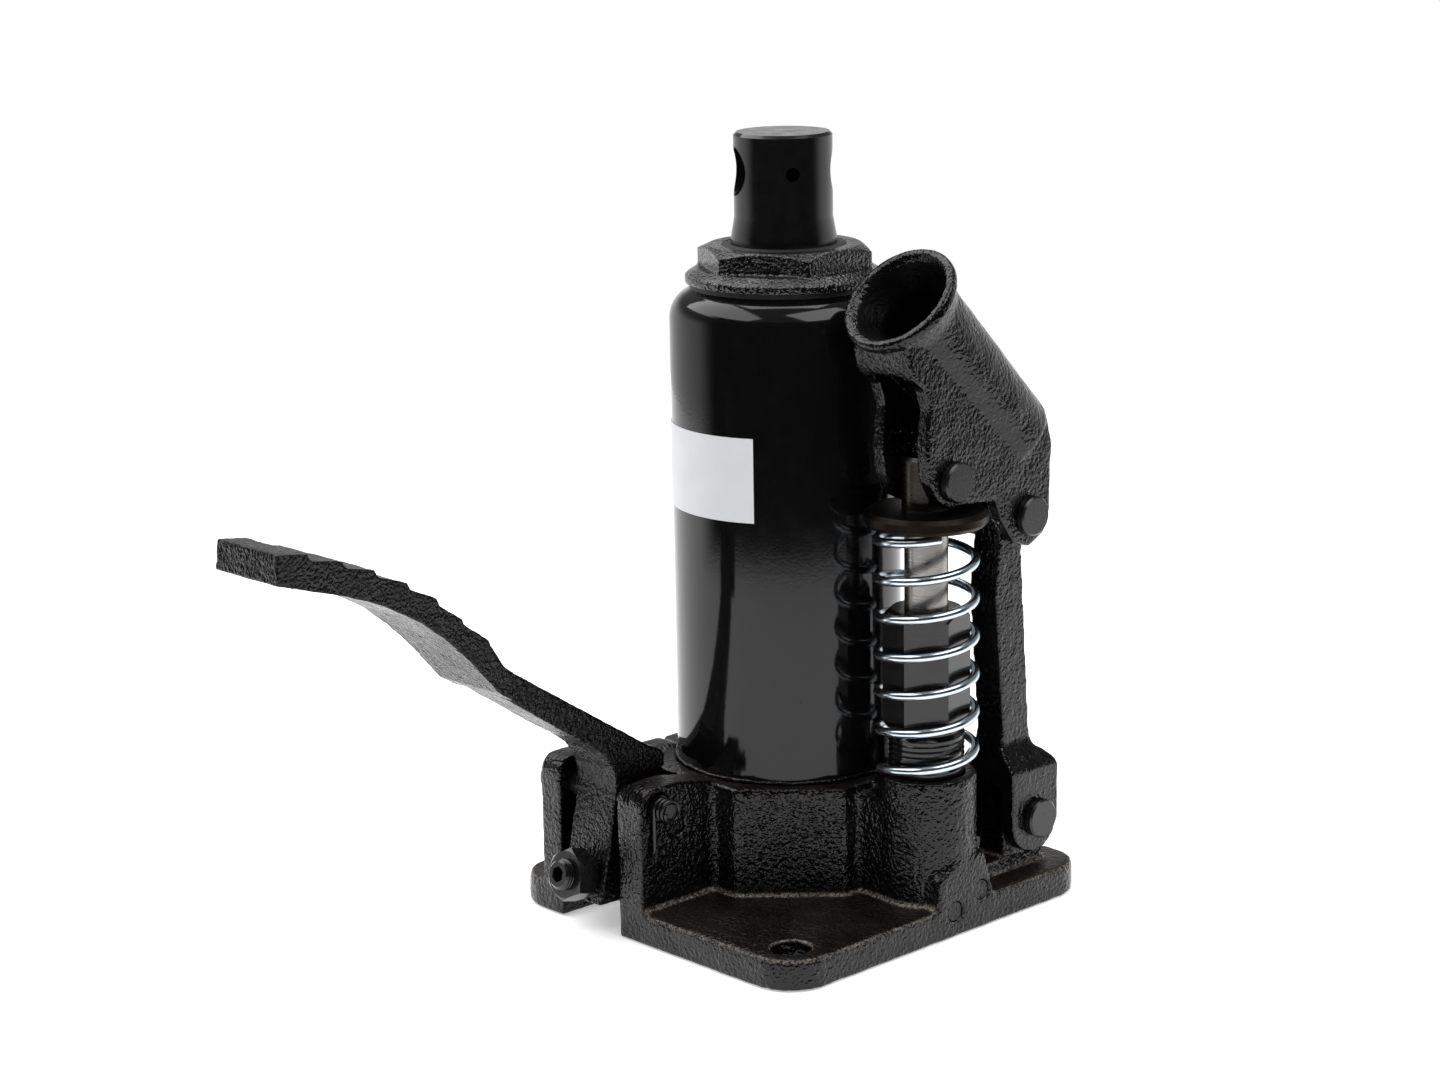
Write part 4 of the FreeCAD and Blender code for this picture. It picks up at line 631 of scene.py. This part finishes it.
def paperGround():
    # matt white background paper; the glow that only the view and mirrors see keeps it white
    look = {"fleck": 40, "dark": "#efefef", "light": "#f3f3f3", "rough": 0.9, "shine": 0.1,
            "glow": 0.4, "radius": 0.8, "under": 0.2}
    material, tree, shader, coords = newMaterial("paperGround")
    fleck = addNode(tree, "ShaderNodeTexNoise", {"Scale": perMm(look["fleck"]), "Detail": 2.0},
                    {"Vector": coords})
    tint = addNode(tree, "ShaderNodeMix",
                   {"data_type": "RGBA", 6: hexColour(look["dark"]), 7: hexColour(look["light"])},
                   {0: fleck.outputs["Fac"]})
    tree.links.new(tint.outputs[2], shader.inputs["Base Color"])
    shader.inputs["Roughness"].default_value = look["rough"]
    shader.inputs["Specular IOR Level"].default_value = look["shine"]
    strength = addNode(tree, "ShaderNodeMath", {"operation": "MULTIPLY", 1: look["glow"]},
                       {0: backgroundRay(tree)})
    glow = addNode(tree, "ShaderNodeEmission", {}, {"Strength": strength.outputs[0]})
    paper = addNode(tree, "ShaderNodeAddShader", {}, {0: shader.outputs["BSDF"],
                                                     1: glow.outputs["Emission"]})
    tree.links.new(paper.outputs[0], surfaceSocket(tree))
    shape = bmesh.new()
    bmesh.ops.create_circle(shape, cap_ends=True, segments=96, radius=look["radius"])
    mesh = bpy.data.meshes.new("ground")
    shape.to_mesh(mesh)
    shape.free()
    mesh.materials.append(material)
    ground = linked("ground", mesh)
    ground.location = (0.0, 0.0, -look["under"] * mm)


paperGround()

world = bpy.data.worlds.new("tent")
bpy.context.scene.world = world
world.use_nodes = True
worldTree = world.node_tree
worldTree.nodes.clear()
# the tent is white low down, where the paper sweeps up, and dim above it
skyward = addNode(worldTree, "ShaderNodeSeparateXYZ", {}, {
    "Vector": addNode(worldTree, "ShaderNodeTexCoord").outputs["Generated"]})
dimming = addNode(worldTree, "ShaderNodeMapRange",
                  {"interpolation_type": "SMOOTHSTEP", "From Min": 0.04, "From Max": 0.3,
                   "To Min": 1.0, "To Max": 0.22}, {"Value": skyward.outputs["Z"]})
fill = addNode(worldTree, "ShaderNodeBackground", {"Strength": 0.45})
sweep = addNode(worldTree, "ShaderNodeBackground", {}, {"Strength": dimming.outputs["Result"]})
fill.inputs["Color"].default_value = (1, 1, 1, 1)
sweep.inputs["Color"].default_value = (1, 1, 1, 1)
tent = addNode(worldTree, "ShaderNodeMixShader", {}, {0: backgroundRay(worldTree),
                                                     1: fill.outputs[0], 2: sweep.outputs[0]})
addNode(worldTree, "ShaderNodeOutputWorld", {}, {"Surface": tent.outputs[0]})


def softLight(name, look):
    lamp = bpy.data.lights.new(name, "AREA")
    lamp.shape = "RECTANGLE"
    lamp.size = look["wide"]
    lamp.size_y = look["tall"]
    lamp.energy = look["watts"]
    holder = linked(name, lamp)
    turn = cameraSide + math.radians(look["turn"])
    rise = math.radians(look["rise"])
    aim = Vector((0, 0, 0.08))
    spot = aim + Vector((math.cos(turn) * math.cos(rise), math.sin(turn) * math.cos(rise),
                         math.sin(rise))) * look["away"]
    holder.location = spot
    holder.rotation_euler = (aim - spot).to_track_quat("-Z", "Y").to_euler()


softboxes = {  # turned from the camera's side, in degrees; sizes in metres
    "leftSoftbox": {"turn": -92, "rise": 50, "away": 1.1, "wide": 1.7, "tall": 0.7, "watts": 12.0},
    "rightSoftbox": {"turn": 50, "rise": 54, "away": 1.1, "wide": 0.9, "tall": 0.7, "watts": 7.0},
    "backSoftbox": {"turn": 180, "rise": 70, "away": 1.2, "wide": 0.8, "tall": 0.8, "watts": 7.0},
}
for name, look in softboxes.items():
    softLight(name, look)


def darkCard():
    # a black card round the front of the set, seen only in reflections, keeps black gloss black
    look = {"radius": 0.43, "spread": 98, "fade": 26, "high": 0.45, "footFade": 0.02, "steps": 40}
    material, tree, shader, coords = newMaterial("blackCard")
    shader.inputs["Base Color"].default_value = hexColour("#151515")
    shader.inputs["Roughness"].default_value = 1.0
    clear = addNode(tree, "ShaderNodeBsdfTransparent")
    parts = addNode(tree, "ShaderNodeSeparateXYZ", {}, {"Vector": coords})
    around = addNode(tree, "ShaderNodeMath", {"operation": "ARCTAN2"},
                     {0: parts.outputs["Y"], 1: parts.outputs["X"]})
    off = addNode(tree, "ShaderNodeMath", {"operation": "ABSOLUTE"}, {0: around.outputs[0]})
    side = addNode(tree, "ShaderNodeMapRange",
                   {"interpolation_type": "SMOOTHSTEP",
                    "From Min": math.radians(look["spread"] - look["fade"]),
                    "From Max": math.radians(look["spread"]), "To Min": 0.0, "To Max": 1.0},
                   {"Value": off.outputs[0]})
    low = addNode(tree, "ShaderNodeMapRange",
                  {"interpolation_type": "SMOOTHSTEP", "From Min": 0.0,
                   "From Max": look["footFade"], "To Min": 1.0, "To Max": 0.0},
                  {"Value": parts.outputs["Z"]})
    fade = addNode(tree, "ShaderNodeMath", {"operation": "MAXIMUM"},
                   {0: side.outputs["Result"], 1: low.outputs["Result"]})
    blend = addNode(tree, "ShaderNodeMixShader", {}, {0: fade.outputs[0],
                                                     1: shader.outputs["BSDF"],
                                                     2: clear.outputs["BSDF"]})
    tree.links.new(blend.outputs[0], surfaceSocket(tree))
    shape = bmesh.new()
    foot = shape.verts.new((look["radius"] * math.cos(math.radians(look["spread"])),
                            -look["radius"] * math.sin(math.radians(look["spread"])), 0.0))
    head = shape.verts.new(foot.co + Vector((0, 0, look["high"])))
    edge = shape.edges.new((foot, head))
    bmesh.ops.spin(shape, geom=[foot, head, edge], cent=(0, 0, 0), axis=(0, 0, 1),
                   dvec=(0, 0, 0), angle=math.radians(2 * look["spread"]), steps=look["steps"],
                   use_merge=False)
    mesh = bpy.data.meshes.new("dark_card")
    shape.to_mesh(mesh)
    shape.free()
    mesh.materials.append(material)
    card = linked("dark_card", mesh)
    card.rotation_euler = (0, 0, cameraSide)
    card.visible_camera = False
    card.visible_diffuse = False
    card.visible_shadow = False
    card.visible_transmission = False


darkCard()
print("ground, lamps and card set")

view = {"spot": (-0.60416, -0.61061, 0.30908), "yaw": 43.44, "pitch": 13.60, "roll": -0.967,
        "lens": 79.12}
lens = bpy.data.cameras.new("photoCamera")
lens.sensor_fit = "HORIZONTAL"
lens.sensor_width = 36.0
lens.lens = view["lens"]
lens.clip_start = 0.01
camera = linked("photoCamera", lens)
camera.matrix_world = (Matrix.Translation(view["spot"])
                       @ Matrix.Rotation(-math.radians(view["yaw"]), 4, "Z")
                       @ Matrix.Rotation(math.pi / 2 - math.radians(view["pitch"]), 4, "X")
                       @ Matrix.Rotation(math.radians(view["roll"]), 4, "Z"))
bpy.context.scene.camera = camera
bpy.context.scene.view_settings.view_transform = "Standard"
print("camera placed")
